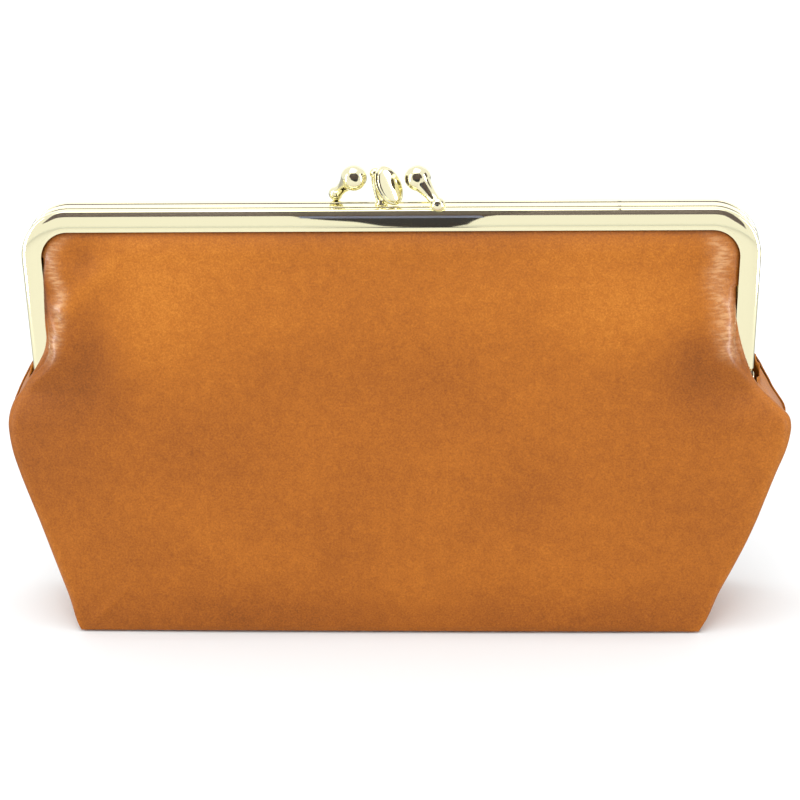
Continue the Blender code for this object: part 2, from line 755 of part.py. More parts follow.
def gusset_half(height, share):
    """Half length of the body over a gusset's middle surface, clear of the hinge."""
    edge = side_half(height) - LEATHER / 2
    hinge_end = hinge_plane(0) + RIVET_HEAD + 3 * CLEARANCE + LEATHER
    fold = min(GUSSET_FOLD * ease(height / EAR_HEIGHT), max(0.0, edge - hinge_end))
    return edge - fold * (1.0 - share * share)


def build_gusset(name, sign, finish):
    """A side leather, folded inward between the front and the back."""
    rows = []
    shares = steps_between(-1.0, 1.0, 10)
    for height in steps_between(LEATHER + CLEARANCE, BASE_RADIUS, 3)[:-1]:
        rows.append([Vector((sign * gusset_half(height, share),
                             share * gusset_half_depth(height), height)) for share in shares])
    for rise in steps_between(0.0, 1.0, 8):
        row = []
        for share in shares:
            top = EAR_TOP - GUSSET_DROP - GUSSET_DIP * (1.0 - share * share)
            height = mix(BASE_RADIUS, top, rise)
            place = sign * gusset_half(height, share)
            row.append(Vector((place, share * gusset_half_depth(height), height)))
        rows.append(row)
    return add_sheet(name, rows, LEATHER, finish)


# Inside

POCKET_LOW = LEATHER + BASE_BOARD + 2 * CLEARANCE + CLEARANCE / 2 + LINING / 2
DIVIDER_LINING_MID = (BOARD + LINING) / 2 + CLEARANCE


def divider_half(height):
    """Half length of the divider, inside the legs, the rivets and the gussets."""
    if height > NOTCH_TOP - CLEARANCE:
        return opening_half(height, TUCK - CLEARANCE)
    above = opening_half(height) - NOTCH_INSET - CLEARANCE
    below = gusset_half(height, 0.0) - LEATHER - LINING - 4 * CLEARANCE
    return min(above, below)


def build_divider_sheet(name, depth, thickness, low, finish):
    """A flat sheet that hangs from the middle channel."""
    heights = [height for height in panel_rows() if height > FOLD_TOP + CLEARANCE]
    heights = steps_between(low, FOLD_TOP, 6) + heights
    right = [Vector((divider_half(height), depth - thickness / 2, height)) for height in heights]
    left = [Vector((-point.x, point.y, point.z)) for point in reversed(right)]
    mesh = bmesh.new()
    add_prism(mesh, right + left, Vector((0.0, thickness, 0.0)))
    return finish_mesh(mesh, name, finish)


def pocket_loop(height, side, inset):
    """One level of a pocket as a closed loop, at mid thickness."""
    wall = LEATHER + LINING / 2 + 2 * CLEARANCE + inset
    level = max(height, BASE_RADIUS)
    half = side_half(height) - wall - LEATHER / 2
    loop = []
    for share in steps_between(-0.96, 0.96, 10):
        depth = lining_depth(level, share) - inset
        loop.append(Vector((share * half, side * depth, height)))
    near = DIVIDER_LINING_MID
    far = min(gusset_half_depth(level), lining_depth(level, 0.96)) - inset
    right = []
    for share in steps_between(0.85, 0.0, 4):
        depth = max(near, share * far)
        place = gusset_half(height, share) - wall
        right.append(Vector((place, side * depth, height)))
    right[-1].y = side * near
    left = [Vector((-point.x, point.y, point.z)) for point in reversed(right)]
    return loop + right + left


def build_pocket(name, side, finish):
    """A cloth pocket with a closed bottom and an open mouth."""
    mesh = bmesh.new()
    rings = []
    levels = [(POCKET_LOW, 2 * LINING), (BASE_RADIUS + LINING, 0.0)]
    levels += [(height, 0.0) for height in steps_between(BASE_RADIUS + LINING, POCKET_TOP, 7)[1:]]
    for height, inset in levels:
        rings.append([mesh.verts.new(point) for point in pocket_loop(height, side, inset)])
    for first, second in zip(rings, rings[1:]):
        for index in range(len(first)):
            after = (index + 1) % len(first)
            mesh.faces.new((first[index], first[after], second[after], second[index]))
    mesh.faces.new(rings[0])
    bmesh.ops.recalc_face_normals(mesh, faces=mesh.faces)
    data = bpy.data.meshes.new(name)
    mesh.to_mesh(data)
    mesh.free()
    data.shade_smooth()
    data.set_sharp_from_angle(angle=math.radians(40))
    made = add_object(name, data, finish)
    wall = made.modifiers.new("thickness", "SOLIDIFY")
    wall.thickness = LINING
    wall.offset = 0.0
    return made


def build_base_board():
    """The stiff board in the base, with round corners."""
    low = LEATHER + CLEARANCE
    half_length = BASE_HALF_LENGTH - LEATHER - 3 * CLEARANCE
    half_depth = BASE_FLAT_DEPTH
    corner = BASE_RADIUS / 2
    outline = []
    for quarter, (x, y) in enumerate(((1, 1), (-1, 1), (-1, -1), (1, -1))):
        centre = Vector((x * (half_length - corner), y * (half_depth - corner), low))
        for angle in steps_between(0.0, math.pi / 2, 4):
            turn = angle + quarter * math.pi / 2
            outline.append(centre + corner * Vector((math.cos(turn), math.sin(turn), 0.0)))
    mesh = bmesh.new()
    add_prism(mesh, outline, Vector((0.0, 0.0, BASE_BOARD)))
    return finish_mesh(mesh, "base_board", card("base_board"))


def build_packing_cord(name, middle):
    """The paper cord that jams the cloth and leather in a channel."""
    curve = bpy.data.curves.new(name, "CURVE")
    curve.dimensions = "3D"
    curve.bevel_depth = CORD_RADIUS
    curve.bevel_resolution = 1
    curve.use_fill_caps = True
    inset = FRAME_TOP - CORD_TOP + CORD_RADIUS
    places = [point for point, outward in frame_stations(NOTCH_TOP, inset)]
    spline = curve.splines.new("POLY")
    spline.points.add(len(places) - 1)
    for point, place in zip(spline.points, places):
        point.co = (place[0], middle, place[1], 1.0)
    return add_object(name, curve, paper(name))


def hang_on_axis(name, pieces):
    """Parent the pieces of one half to an empty on the hinge axis."""
    axis = bpy.data.objects.new(name, None)
    axis.location = (0.0, 0.0, HINGE_HEIGHT)
    bpy.context.scene.collection.objects.link(axis)
    for piece in pieces:
        piece.parent = axis
        piece.location = (0.0, 0.0, -HINGE_HEIGHT)


def build_purse():
    """Every piece of the purse."""
    clear_scene()
    for word, side, order in (("front", -1.0, 0), ("back", 1.0, 2)):
        middle = side * RAIL_PITCH
        hang_on_axis(word + "_half_axis", (
            build_frame(word + "_frame", middle, order, CLASP_MIDDLE - side * FOOT_SPREAD),
            build_ball_clasp(word + "_clasp", -side),
            build_packing_cord(word + "_packing_cord", middle),
            build_panel(word + "_panel", side, leather(word + "_panel")),
            build_upper_lining(word + "_upper_lining", side, cloth(word + "_upper_lining"))))
        fold_half = cover_half(FOLD_TOP) - CLEARANCE
        build_fold(word + "_panel_fold", side, LEATHER, leather(word + "_panel_fold"),
                   panel_depth, fold_half)
        build_fold(word + "_lining_fold", side, LINING, cloth(word + "_lining_fold"),
                   lining_depth, opening_half(FOLD_TOP) - NOTCH_INSET - CLEARANCE)
        build_pocket(word + "_pocket_lining", side, cloth(word + "_pocket_lining"))
        build_divider_sheet("divider_" + word + "_lining", side * DIVIDER_LINING_MID, LINING,
                            POCKET_TOP + CLEARANCE, cloth("divider_" + word + "_lining"))
    build_frame("middle_frame", 0.0, 1, CLASP_MIDDLE - LEAF_FOOT_SHARE * LEAF_LENGTH)
    build_leaf("middle_clasp")
    build_packing_cord("middle_packing_cord", 0.0)
    build_divider_sheet("divider_board", 0.0, BOARD, LEATHER + BASE_BOARD + 2 * CLEARANCE,
                        card("divider_board"))
    build_outer_shell(leather("outer_shell"))
    build_base_board()
    for word, sign in (("left", -1.0), ("right", 1.0)):
        build_gusset(word + "_gusset", sign, leather(word + "_gusset"))
        build_rivet(word + "_hinge_rivet", sign)


build_purse()
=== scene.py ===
# %% [markdown]
# # Frame purse
# A clutch with two compartments in smooth tan leather, hung in three polished gold
# frames. The solid model is the frame of this scene: it says where each piece is and
# how it moves. The pieces below are dressed over it, one at a time.

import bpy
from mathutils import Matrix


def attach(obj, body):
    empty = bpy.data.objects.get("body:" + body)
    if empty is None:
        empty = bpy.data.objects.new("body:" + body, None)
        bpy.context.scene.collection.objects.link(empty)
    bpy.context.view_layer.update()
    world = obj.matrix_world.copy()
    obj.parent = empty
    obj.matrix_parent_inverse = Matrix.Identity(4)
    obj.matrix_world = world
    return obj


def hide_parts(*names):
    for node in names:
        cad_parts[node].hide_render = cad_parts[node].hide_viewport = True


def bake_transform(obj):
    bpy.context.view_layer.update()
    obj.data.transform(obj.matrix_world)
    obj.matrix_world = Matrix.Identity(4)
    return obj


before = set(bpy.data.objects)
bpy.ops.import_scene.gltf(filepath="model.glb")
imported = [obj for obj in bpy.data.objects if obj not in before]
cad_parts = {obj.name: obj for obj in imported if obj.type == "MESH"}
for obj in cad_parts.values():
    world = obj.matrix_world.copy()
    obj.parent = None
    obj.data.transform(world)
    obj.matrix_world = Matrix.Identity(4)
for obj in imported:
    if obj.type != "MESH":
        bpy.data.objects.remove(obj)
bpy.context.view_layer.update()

# %% Tools that the rest needs
import math

import bmesh
import bpy
import numpy as np
from mathutils import Matrix, Vector, noise

MM = 0.001


def ease(share):
    """A share that starts and ends gently."""
    share = np.clip(share, 0.0, 1.0)
    return share * share * (3.0 - 2.0 * share)


def mix(first, second, share):
    """The value a share of the way from first to second."""
    return first + (second - first) * share


def hump(place, middle, width):
    """A soft hump, 1 at its middle."""
    return np.exp(-((place - middle) / width) ** 2)


def line_through(places, values):
    """A smooth line through a few measured points, as a function."""
    places = np.array(places, float)
    values = np.array(values, float)
    slopes = np.gradient(values, places)

    def at(place):
        place = np.clip(place, places[0], places[-1])
        index = np.clip(np.searchsorted(places, place) - 1, 0, len(places) - 2)
        width = places[index + 1] - places[index]
        t = (place - places[index]) / width
        start = values[index] * (1 + 2 * t) + slopes[index] * width * t
        end = values[index + 1] * (3 - 2 * t) - slopes[index + 1] * width * (1 - t)
        return start * (1 - t) ** 2 + end * t * t

    return at


print("a line through 3 points, half way:", line_through((0, 1, 2), (0, 1, 4))(1.5))

# %% [markdown]
# ## Writing finishes as sums
# Every finish here is a small web of shader nodes. Wiring them by hand is long, so one
# class wraps a node's output and lets it be added, multiplied and so on. Each sum on
# such an output becomes a Math node. Colours go through a Mix node instead, because a
# Math node would turn them grey.

# %% A wire and a way to place nodes
class Wire:
    """A node's output, for use in sums and as another node's input."""

    def __init__(self, socket):
        self.socket = socket

    def joined(self, operation, first, second):
        return place_node(self.socket.id_data, "ShaderNodeMath", {"operation": operation},
                          {0: first, 1: second})

    def __add__(self, other):
        return self.joined("ADD", self, other)

    def __sub__(self, other):
        return self.joined("SUBTRACT", self, other)

    def __rsub__(self, other):
        return self.joined("SUBTRACT", other, self)

    def __mul__(self, other):
        return self.joined("MULTIPLY", self, other)

    __radd__ = __add__
    __rmul__ = __mul__


def place_node(tree, kind, settings, values, output=0):
    """One node: its settings first, then the values or wires of its sockets."""
    node = tree.nodes.new(kind)
    for name, setting in settings.items():
        if name == "stops":
            stops = node.color_ramp.elements
            while len(stops) < len(setting):
                stops.new(0.5)
            for stop, (position, colour) in zip(stops, setting):
                stop.position = position
                stop.color = colour
        else:
            setattr(node, name, setting)
    sockets = {socket.identifier: socket for socket in node.inputs}
    for key, value in values.items():
        socket = node.inputs[key] if isinstance(key, int) else sockets[key]
        if isinstance(value, Wire):
            tree.links.new(value.socket, socket)
        else:
            socket.default_value = value
    return Wire(node.outputs[output])


# %% A finish
class Finish:
    """A material whose fixed values are on its shader, and whose patterns are wired."""

    def __init__(self, name, **fixed):
        self.material = bpy.data.materials.new(name)
        self.material.use_nodes = True
        self.tree = self.material.node_tree
        self.shader = self.tree.nodes["Principled BSDF"]
        for socket, value in fixed.items():
            self.shader.inputs[socket.replace("_", " ")].default_value = value
        self.place = self.node("ShaderNodeTexCoord", {}, {}, 3)

    def node(self, kind, settings, values, output=0):
        return place_node(self.tree, kind, settings, values, output)

    def wire(self, socket, value):
        self.tree.links.new(value.socket, self.shader.inputs[socket])

    def noise(self, size, detail=2.0, stretch=(1.0, 1.0, 1.0), roughness=0.5):
        """Noise with features of a given size in metres, stretched along the axes."""
        spot = self.node("ShaderNodeMapping", {}, {"Vector": self.place, "Scale": stretch})
        return self.node("ShaderNodeTexNoise", {}, {
            "Vector": spot, "Scale": 1.0 / size, "Detail": detail, "Roughness": roughness})

    def attribute(self, name):
        return self.node("ShaderNodeAttribute", {"attribute_name": name}, {}, 2)

    def between(self, value, low, high):
        """0 at low, 1 at high, smooth in between."""
        return self.node("ShaderNodeMapRange", {"interpolation_type": "SMOOTHSTEP"}, {
            "Value": value, "From Min": low, "From Max": high})

    def blend(self, first, second, share):
        """Two colours mixed by a share."""
        return self.node("ShaderNodeMix", {"data_type": "RGBA"}, {
            "Factor_Float": share, "A_Color": first, "B_Color": second}, 2)

    def bump(self, height, depth):
        self.wire("Normal", self.node("ShaderNodeBump", {}, {"Height": height, "Distance": depth}))


# %% [markdown]
# ## Tan leather
# The leather is smooth, drum-dyed calf: an even orange tan with a fine mottle. Its colour
# also holds painted shade, darker and browner near the base, in the hollows under the hinges,
# under the rail's lip and along the legs' inner edges, and painted light, lighter high up and
# on its swells; its side edges are lighter, part wear and part painted sheen. A satin surface
# comes from a middling roughness that varies a little. These broad shades are written on the
# mesh as an attribute. Where the "crease" attribute says so, on the shoulders, the leather is
# creased into fine level wrinkles, shinier than the rest, with a painted highlight on their crests.

# %% The leather's finish
leather = Finish("tan_leather", Specular_IOR_Level=0.24, Coat_Roughness=0.27)
# Painted light and shade read from the mesh: lighter high up and on swells, darker near the base, in hollows
# and in crevices.
tone = leather.attribute("tone")
broad = leather.noise(0.030, 3.0)
mottle = leather.noise(0.0030, 3.0, roughness=0.62)
speck = leather.noise(0.00048, 2.0, roughness=0.75)
# The dye's mottle plus the painted light and shade pick the colour from the ramp.
dye_and_painted_light = tone + broad * 0.26 + mottle * 0.30 + speck * 0.85 - 0.705
smooth = leather.node("ShaderNodeValToRGB", {"stops": (
    (0.0, (0.160, 0.043, 0.0034, 1.0)), (0.3, (0.280, 0.076, 0.0050, 1.0)),
    (0.5, (0.370, 0.106, 0.0068, 1.0)), (0.7, (0.468, 0.143, 0.0096, 1.0)),
    (1.0, (0.635, 0.224, 0.0225, 1.0)))}, {"Fac": dye_and_painted_light})
crease = leather.attribute("crease")
fine_folds = leather.noise(0.0007, 2.0, stretch=(0.22, 0.5, 1.0))
# Painted highlight: the creased shoulders are blended toward a pale tan, most on the wrinkles' crests.
painted_crease_highlight = crease * (leather.between(fine_folds, 0.40, 0.68) * 0.40 + 0.10)
leather.wire("Base Color", leather.blend(smooth, (0.84, 0.48, 0.21, 1.0), painted_crease_highlight))
leather.wire("Roughness", mottle * 0.16 + broad * 0.10 + 0.32 - crease * 0.10)
leather.wire("Coat Weight", crease * 1.0)
pores = leather.node("ShaderNodeTexVoronoi", {"feature": "SMOOTH_F1"}, {
    "Vector": leather.place, "Scale": 1700.0})
leather.bump(pores * 0.12 + speck * 0.45 + mottle * 0.5 + fine_folds * crease * 1.3, 0.00016)
print("leather nodes:", len(leather.tree.nodes))

# %% [markdown]
# ## Pale gold
# The frames and the clasp are steel with polished pale-gold plating. A mirror has no
# texture of its own: what shows is the room, so its life comes from the lights and dark
# cards. Only the faintest haze and unevenness keep it from looking like a computer's
# mirror.

# %% The gold's finish
gold = Finish("pale_gold", Base_Color=(0.92, 0.87, 0.59, 1.0), Metallic=1.0)
haze = gold.noise(0.009, 3.0)
gold.wire("Roughness", haze * 0.05 + 0.045)
gold.bump(gold.noise(0.012, 1.0), 0.00002)
print("gold nodes:", len(gold.tree.nodes))

# %% [markdown]
# ## Cloth, card and paper
# Inside is a brown cotton lining. Its weave is two sets of ridges that cross, read from
# the sheet's own unwrapped places, so that the threads follow the cloth. The divider
# and the base are stiffened with grey card, and twisted kraft paper jams the edges in
# the channels.

# %% The inside finishes
cloth = Finish("brown_cotton", Roughness=0.86, Sheen_Weight=0.25, Sheen_Roughness=0.5)
threads = cloth.node("ShaderNodeUVMap", {"uv_map": "threads"}, {})
warp = cloth.node("ShaderNodeTexWave", {"bands_direction": "X"},
                  {"Vector": threads, "Scale": 450.0}, 1)
weft = cloth.node("ShaderNodeTexWave", {"bands_direction": "Y"},
                  {"Vector": threads, "Scale": 450.0}, 1)
slub = cloth.noise(0.004, 2.0, stretch=(1.0, 1.0, 0.2))
cloth.wire("Base Color", cloth.blend((0.19, 0.105, 0.055, 1.0), (0.31, 0.19, 0.11, 1.0),
                                     slub * 0.6 + warp * 0.2 + weft * 0.2))
cloth.bump(warp + weft, 0.00006)

card = Finish("grey_card", Roughness=0.9)
fleck = card.noise(0.0016, 4.0)
card.wire("Base Color", card.blend((0.30, 0.28, 0.24, 1.0), (0.52, 0.49, 0.43, 1.0), fleck))
card.bump(fleck, 0.00005)

paper = Finish("kraft_paper", Roughness=0.92)
fibre = paper.noise(0.0012, 4.0, stretch=(0.3, 1.0, 1.0))
paper.wire("Base Color", paper.blend((0.43, 0.31, 0.19, 1.0), (0.66, 0.52, 0.35, 1.0), fibre))
paper.bump(fibre, 0.00005)
print("finishes:", [f.material.name for f in (leather, gold, cloth, card, paper)])

# %% [markdown]
# ## Mesh helpers
# Sheets are grids of points at the middle of their thickness. Solidify gives them their
# thickness, and the result is baked into a plain mesh, so that nothing is left live on a
# piece. Turned metal pieces are profiles spun round an axis.

# %% Sheets, turned shapes and baking
def enter(name, data):
    """A new object in the scene."""
    made = bpy.data.objects.new(name, data)
    bpy.context.scene.collection.objects.link(made)
    return made


def link(name, data, finish):
    """A new object that has one finish."""
    data.materials.clear()
    data.materials.append(finish.material)
    return enter(name, data)


def bake(made):
    """Apply all modifiers into a plain mesh."""
    shape = made.evaluated_get(bpy.context.evaluated_depsgraph_get())
    flat = bpy.data.meshes.new_from_object(shape)
    made.modifiers.clear()
    made.data = flat
    return made


def unevenness(x, z, wide, high, seed):
    """Random gentle rises over a sheet, each about so wide and so high."""
    return np.array([[noise.noise(Vector((px / wide, pz / high, seed))) for px, pz in zip(xs, zs)]
                     for xs, zs in zip(x, z)])


def grid_piece(name, grid, thickness, finish, marks=None):
    """A sheet from a grid of points in millimetres, rows by columns by three."""
    rows, columns = grid.shape[:2]
    points = grid.reshape(-1, 3) * MM
    corner = (np.arange(rows - 1)[:, None] * columns + np.arange(columns - 1)).ravel()
    faces = np.stack([corner, corner + 1, corner + columns + 1, corner + columns], 1)
    data = bpy.data.meshes.new(name)
    data.from_pydata(points.tolist(), [], faces.tolist())
    for mark, values in (marks or {}).items():
        layer = data.attributes.new(mark, "FLOAT", "POINT")
        layer.data.foreach_set("value", values.ravel().astype(np.float32))
    along = np.linalg.norm(np.diff(grid, axis=0, prepend=grid[:1]), axis=2).cumsum(0)
    across = np.linalg.norm(np.diff(grid, axis=1, prepend=grid[:, :1]), axis=2).cumsum(1)
    across -= across[:, columns // 2: columns // 2 + 1]
    spots = np.stack([across, along], 2).reshape(-1, 2) * MM
    layer = data.uv_layers.new(name="threads")
    layer.data.foreach_set("uv", spots[faces.ravel()].ravel())
    data.shade_smooth()
    made = link(name, data, finish)
    wall = made.modifiers.new("thickness", "SOLIDIFY")
    wall.thickness = thickness * MM
    wall.offset = 0.0
    wall.use_even_offset = True
    wall.thickness_clamp = 1.0
    return bake(made)


def turned(mesh, profile, start, direction, steps=48):
    """Spin a profile of (along, radius) points, in millimetres, into a closed solid."""
    turn = Vector((0.0, 0.0, 1.0)).rotation_difference(direction).to_matrix()
    rings = []
    for along, radius in profile:
        if radius < 1e-6:
            rings.append([mesh.verts.new(turn @ Vector((0.0, 0.0, along)) + start)])
            continue
        angles = [math.tau * step / steps for step in range(steps)]
        rings.append([mesh.verts.new(turn @ Vector(
            (radius * math.cos(angle), radius * math.sin(angle), along)) + start)
            for angle in angles])
    for first, second in zip(rings, rings[1:]):
        for step in range(steps):
            after = (step + 1) % steps
            corners = [first[step % len(first)], first[after % len(first)],
                       second[after % len(second)], second[step % len(second)]]
            mesh.faces.new(list(dict.fromkeys(corners)))


def solid_piece(name, mesh, finish, sharp=math.radians(35)):
    """A bmesh in millimetres as a closed piece that is smooth up to its sharp edges."""
    bmesh.ops.scale(mesh, vec=(MM, MM, MM), verts=mesh.verts)
    bmesh.ops.recalc_face_normals(mesh, faces=mesh.faces)
    data = bpy.data.meshes.new(name)
    mesh.to_mesh(data)
    mesh.free()
    data.shade_smooth()
    data.set_sharp_from_angle(angle=sharp)
    return link(name, data, finish)


# %% [markdown]
# ## Where the bag runs
# These lines say how wide and how deep the bag is at each height, in millimetres. Each
# skin narrows to the base, flares to an ear beside the hinge, crosses in front of the
# leg's lower end and slips into the channel. The belly is fullest low down and runs
# straight up to the rail.

# %% Lines of the bag
FRAME_TOP, FRAME_HALF, RAIL_FACE, RAIL_DEPTH = 111.6, 95.3, 5.4, 3.9
RAIL_PITCH = RAIL_DEPTH + 0.3
CORNER_RADIUS = 12.5
CORNER_HEIGHT = FRAME_TOP - CORNER_RADIUS
CORNER_HALF = FRAME_HALF - CORNER_RADIUS
HINGE_HEIGHT, LEG_END = 64.0, 68.5
LEAN = math.asin(1.6 / (CORNER_HEIGHT - HINGE_HEIGHT))
CHANNEL_OPEN = FRAME_TOP - RAIL_FACE
TUCK = 1.8
IN_CHANNEL = 4.75
ON_LEG = 7.35

# How far a skin reaches to the left and to the right: heights and reaches of the seam that
# front and back share, then those of each ear, up to where its edge is tucked in
SEAM = {-1: ((0, 1.2, 3.6, 10, 16.4, 22.8, 29.2, 35.5), (82.5, 83.2, 84.2, 86.3, 88.6, 90.9, 93.2, 95.6)),
        1: ((0, 1.7, 4.1, 10.5, 16.8, 23, 29.4, 35.7), (79.8, 80.8, 82.3, 85.3, 88.7, 91.9, 94.8, 97.3))}
EARS = {
    ("front", -1): ((42, 48, 51.5, 54.6, 58, 61.3, 63, 66.4, 70.7, 74.5, 78, 81, 89, 95),
                    (98.0, 99.8, 100.4, 100.6, 100.1, 98.6, 97.2, 95.0, 92.2, 90.3, 89.6, 89.7, 89.6, 89.4)),
    ("front", 1): ((42, 48, 51.3, 54.2, 56.7, 58.5, 60.8, 63.3, 66, 70.4, 74.7, 79, 83),
                   (99.8, 102.3, 103.2, 103.5, 102.8, 101.0, 98.6, 96.0, 94.0, 92.2, 90.8, 89.8, 89.4)),
    ("back", -1): ((42, 48, 51.5, 55.4, 58.3, 61.7, 65, 67.3, 69, 71, 74, 78, 83),
                   (98.2, 100.4, 101.4, 101.8, 100.6, 99.0, 97.2, 95.9, 95.0, 93.6, 91.6, 90.0, 89.4)),
    ("back", 1): ((42, 48, 51.1, 53.5, 56.7, 59.4, 62.2, 64.7, 67.4, 69, 71, 74, 78, 83),
                  (99.8, 102.4, 103.2, 103.0, 101.3, 99.7, 98.4, 97.0, 95.6, 94.6, 93.2, 91.4, 90.0, 89.4))}
EDGES = {(half, sign): line_through(SEAM[sign][0] + heights, SEAM[sign][1] + reaches)
         for (half, sign), (heights, reaches) in EARS.items()}
# Where each edge passes from the front of the leg into its channel
TUCK_IN = {("front", -1): 99.0, ("front", 1): 90.5, ("back", -1): 92.0, ("back", 1): 93.0}
TURN_LENGTH = {("front", -1): 5.0, ("front", 1): 11.0, ("back", -1): 9.0, ("back", 1): 9.0}
# How wide the rounded shoulder beside each leg is, by height
SHOULDER = {-1: line_through((58, 70, 76, 81, 86, 90.5, 95, 100, 106),
                             (3, 3.2, 4.5, 8, 12.5, 14, 8.5, 8.5, 11)),
            1: line_through((58, 72, 76.5, 82, 88.5, 95, 104), (3, 3.4, 5.5, 8.5, 14, 17, 13))}


def opening_half(height):
    """Half the length of the frame's opening, between the inner edges of its legs."""
    leg = FRAME_HALF - (CORNER_HEIGHT - height) * math.tan(LEAN) - RAIL_FACE
    radius = CORNER_RADIUS - RAIL_FACE
    rise = np.clip((height - CORNER_HEIGHT) / radius, 0.0, 1.0)
    return np.where(height < CORNER_HEIGHT, leg, CORNER_HALF + radius * np.sqrt(1 - rise * rise))


def tucked_half(height):
    """Half the length of a sheet whose edge is tucked into the channel."""
    radius = CORNER_RADIUS - RAIL_FACE + TUCK
    rise = np.clip((height - CORNER_HEIGHT) / radius, 0.0, 1.0)
    corner = CORNER_HALF + radius * np.sqrt(1 - rise * rise)
    return np.where(height < CORNER_HEIGHT, opening_half(height) + TUCK, corner)


def skin_reach(height, half, sign):
    """How far a skin reaches to one side: over the leg, beside it, then into its channel."""
    turn_in, length = TUCK_IN[half, sign], TURN_LENGTH[half, sign]
    beside = opening_half(height) - 0.45
    over = mix(EDGES[half, sign](height), beside, ease((height - turn_in + length) / (0.7 * length)))
    return mix(over, tucked_half(height), ease((height - turn_in - 0.3) / 1.6))


def middle_depth(height):
    """How far a skin's middle stands out from the bag's middle plane."""
    drop = CHANNEL_OPEN - np.clip(height, 12.0, CHANNEL_OPEN)
    root = np.sqrt(132.4 ** 2 - 4 * 38.2 * drop)
    return mix(19.8, IN_CHANNEL, (1 - 2 * drop / (root + 132.4)) ** 2)


def edge_depth(height, turn_in=82.0, length=4.0):
    """How far a skin's side edge stands out."""
    low = mix(19.3, 10.3, np.clip(height, 0, 53) / 53)
    high = mix(ON_LEG, IN_CHANNEL, ease((height - turn_in + length) / length))
    return np.where(height < 53, low, mix(10.3, high, ease((height - 53) / 12)))


print("reach to the right at 0, 53 and 90:",
      [round(float(skin_reach(height, "front", 1)), 1) for height in (0, 53, 90)])

# %% [markdown]
# ## Leather skins
# Front and back are each one leather, from the seam under the base up over the belly
# and into the channel. Stretched between a round bag and a square frame, it rounds over
# into shoulders beside the legs, where it creases finely, sinks a little under each
# hinge and turns inward at the sides. A real one takes this shape by being sewn and
# worn; here a formula with a few named swells gives it, and each can be set apart.

# %% Shape of a skin
BASE_RADIUS = 1.3
SKIN = 1.0
SIDE_TURN = 2.0
FLAT_DEPTH = 19.8 - BASE_RADIUS + SKIN / 2


def skin_rows(turns=10):
    """Heights of the rows over the base's corner and up the side, and how far they are in."""
    angles = np.linspace(0.0, math.pi / 2, turns)
    low = BASE_RADIUS - (BASE_RADIUS - SKIN / 2) * np.cos(angles)
    side = np.linspace(BASE_RADIUS, CORNER_HEIGHT, 151)[1:]
    radius = CORNER_RADIUS - RAIL_FACE + TUCK
    top = CORNER_HEIGHT + radius * np.sin(np.linspace(0.0, math.pi / 2, 15)[1:])
    heights = np.concatenate([np.full(5, SKIN / 2), low, side, top])
    base = np.concatenate([np.linspace(0.006, 0.8, 5), np.ones(len(heights) - 5)])
    arc = np.concatenate([np.zeros(5), np.sin(angles), np.ones(len(side) + len(top))])
    return heights, base, arc


def skin_shares():
    """Where the columns stand from the middle to the side: close together at the side."""
    inner = np.linspace(0.0, 0.80, 34)
    outer = 0.80 + 0.185 * np.linspace(0.0, 1.0, 38)[1:]
    rim = 0.985 + 0.015 * np.sin(np.linspace(0.0, math.pi / 2, 7)[1:])
    right = np.concatenate([inner, outer, rim])
    return np.concatenate([-right[:0:-1], right])


def along_line(x, z, start, end):
    """How far each point is off a line, and how far along it, as a share."""
    run = np.array(end) - np.array(start)
    length = math.hypot(*run)
    share = ((x - start[0]) * run[0] + (z - start[1]) * run[1]) / length ** 2
    off = ((x - start[0]) * run[1] - (z - start[1]) * run[0]) / length
    return off, share


# Soft dents and swells on a skin: where they are, how wide and how high
SWELLS = ((-84.2, 86.3, 1.7, 0.75), (-86.3, 81.5, 1.5, 0.55), (-88.2, 77.2, 1.3, 0.30),
          (-85.8, 84.0, 1.2, -0.30), (-79.1, 99.6, 4.0, -0.70), (-78.0, 77.0, 6.5, -0.85),
          (86.4, 82.0, 1.8, 0.22), (79.0, 75.5, 6.5, -0.80), (83.0, 97.0, 4.0, -0.16),
          (-60.0, 90.0, 12.0, 0.35), (52.0, 88.0, 14.0, 0.30))


def gathers(x, z, seed):
    """The dents and swells beside the legs, as height over the smooth skin."""
    height = 0 * x
    for middle, level, width, rise in SWELLS:
        height = height + rise * np.exp(-((x - middle) ** 2 + ((z - level) / 1.25) ** 2) / width ** 2)
    off, share = along_line(x, z, (-71.0, 98.6), (-83.4, 87.4))
    pull = 0.55 * hump(off, 0.0, 2.8) * ease(share / 0.4 + 0.6) * ease((1.25 - share) / 0.4)
    off, share = along_line(x, z, (-66.0, 16.5), (-80.5, 2.0))
    fold = 0.30 * hump(off, 0.0, 0.9) * ease(share / 0.3) * ease((1.1 - share) / 0.3)
    ripple = 0.10 * np.sin(z / 0.9 + 1.7 * np.sin(x / 1.3 + seed)) * hump(np.abs(x), 86.0, 3.0)
    return height + pull + fold + ripple * ease((z - 72) / 6) * ease((104 - z) / 5)


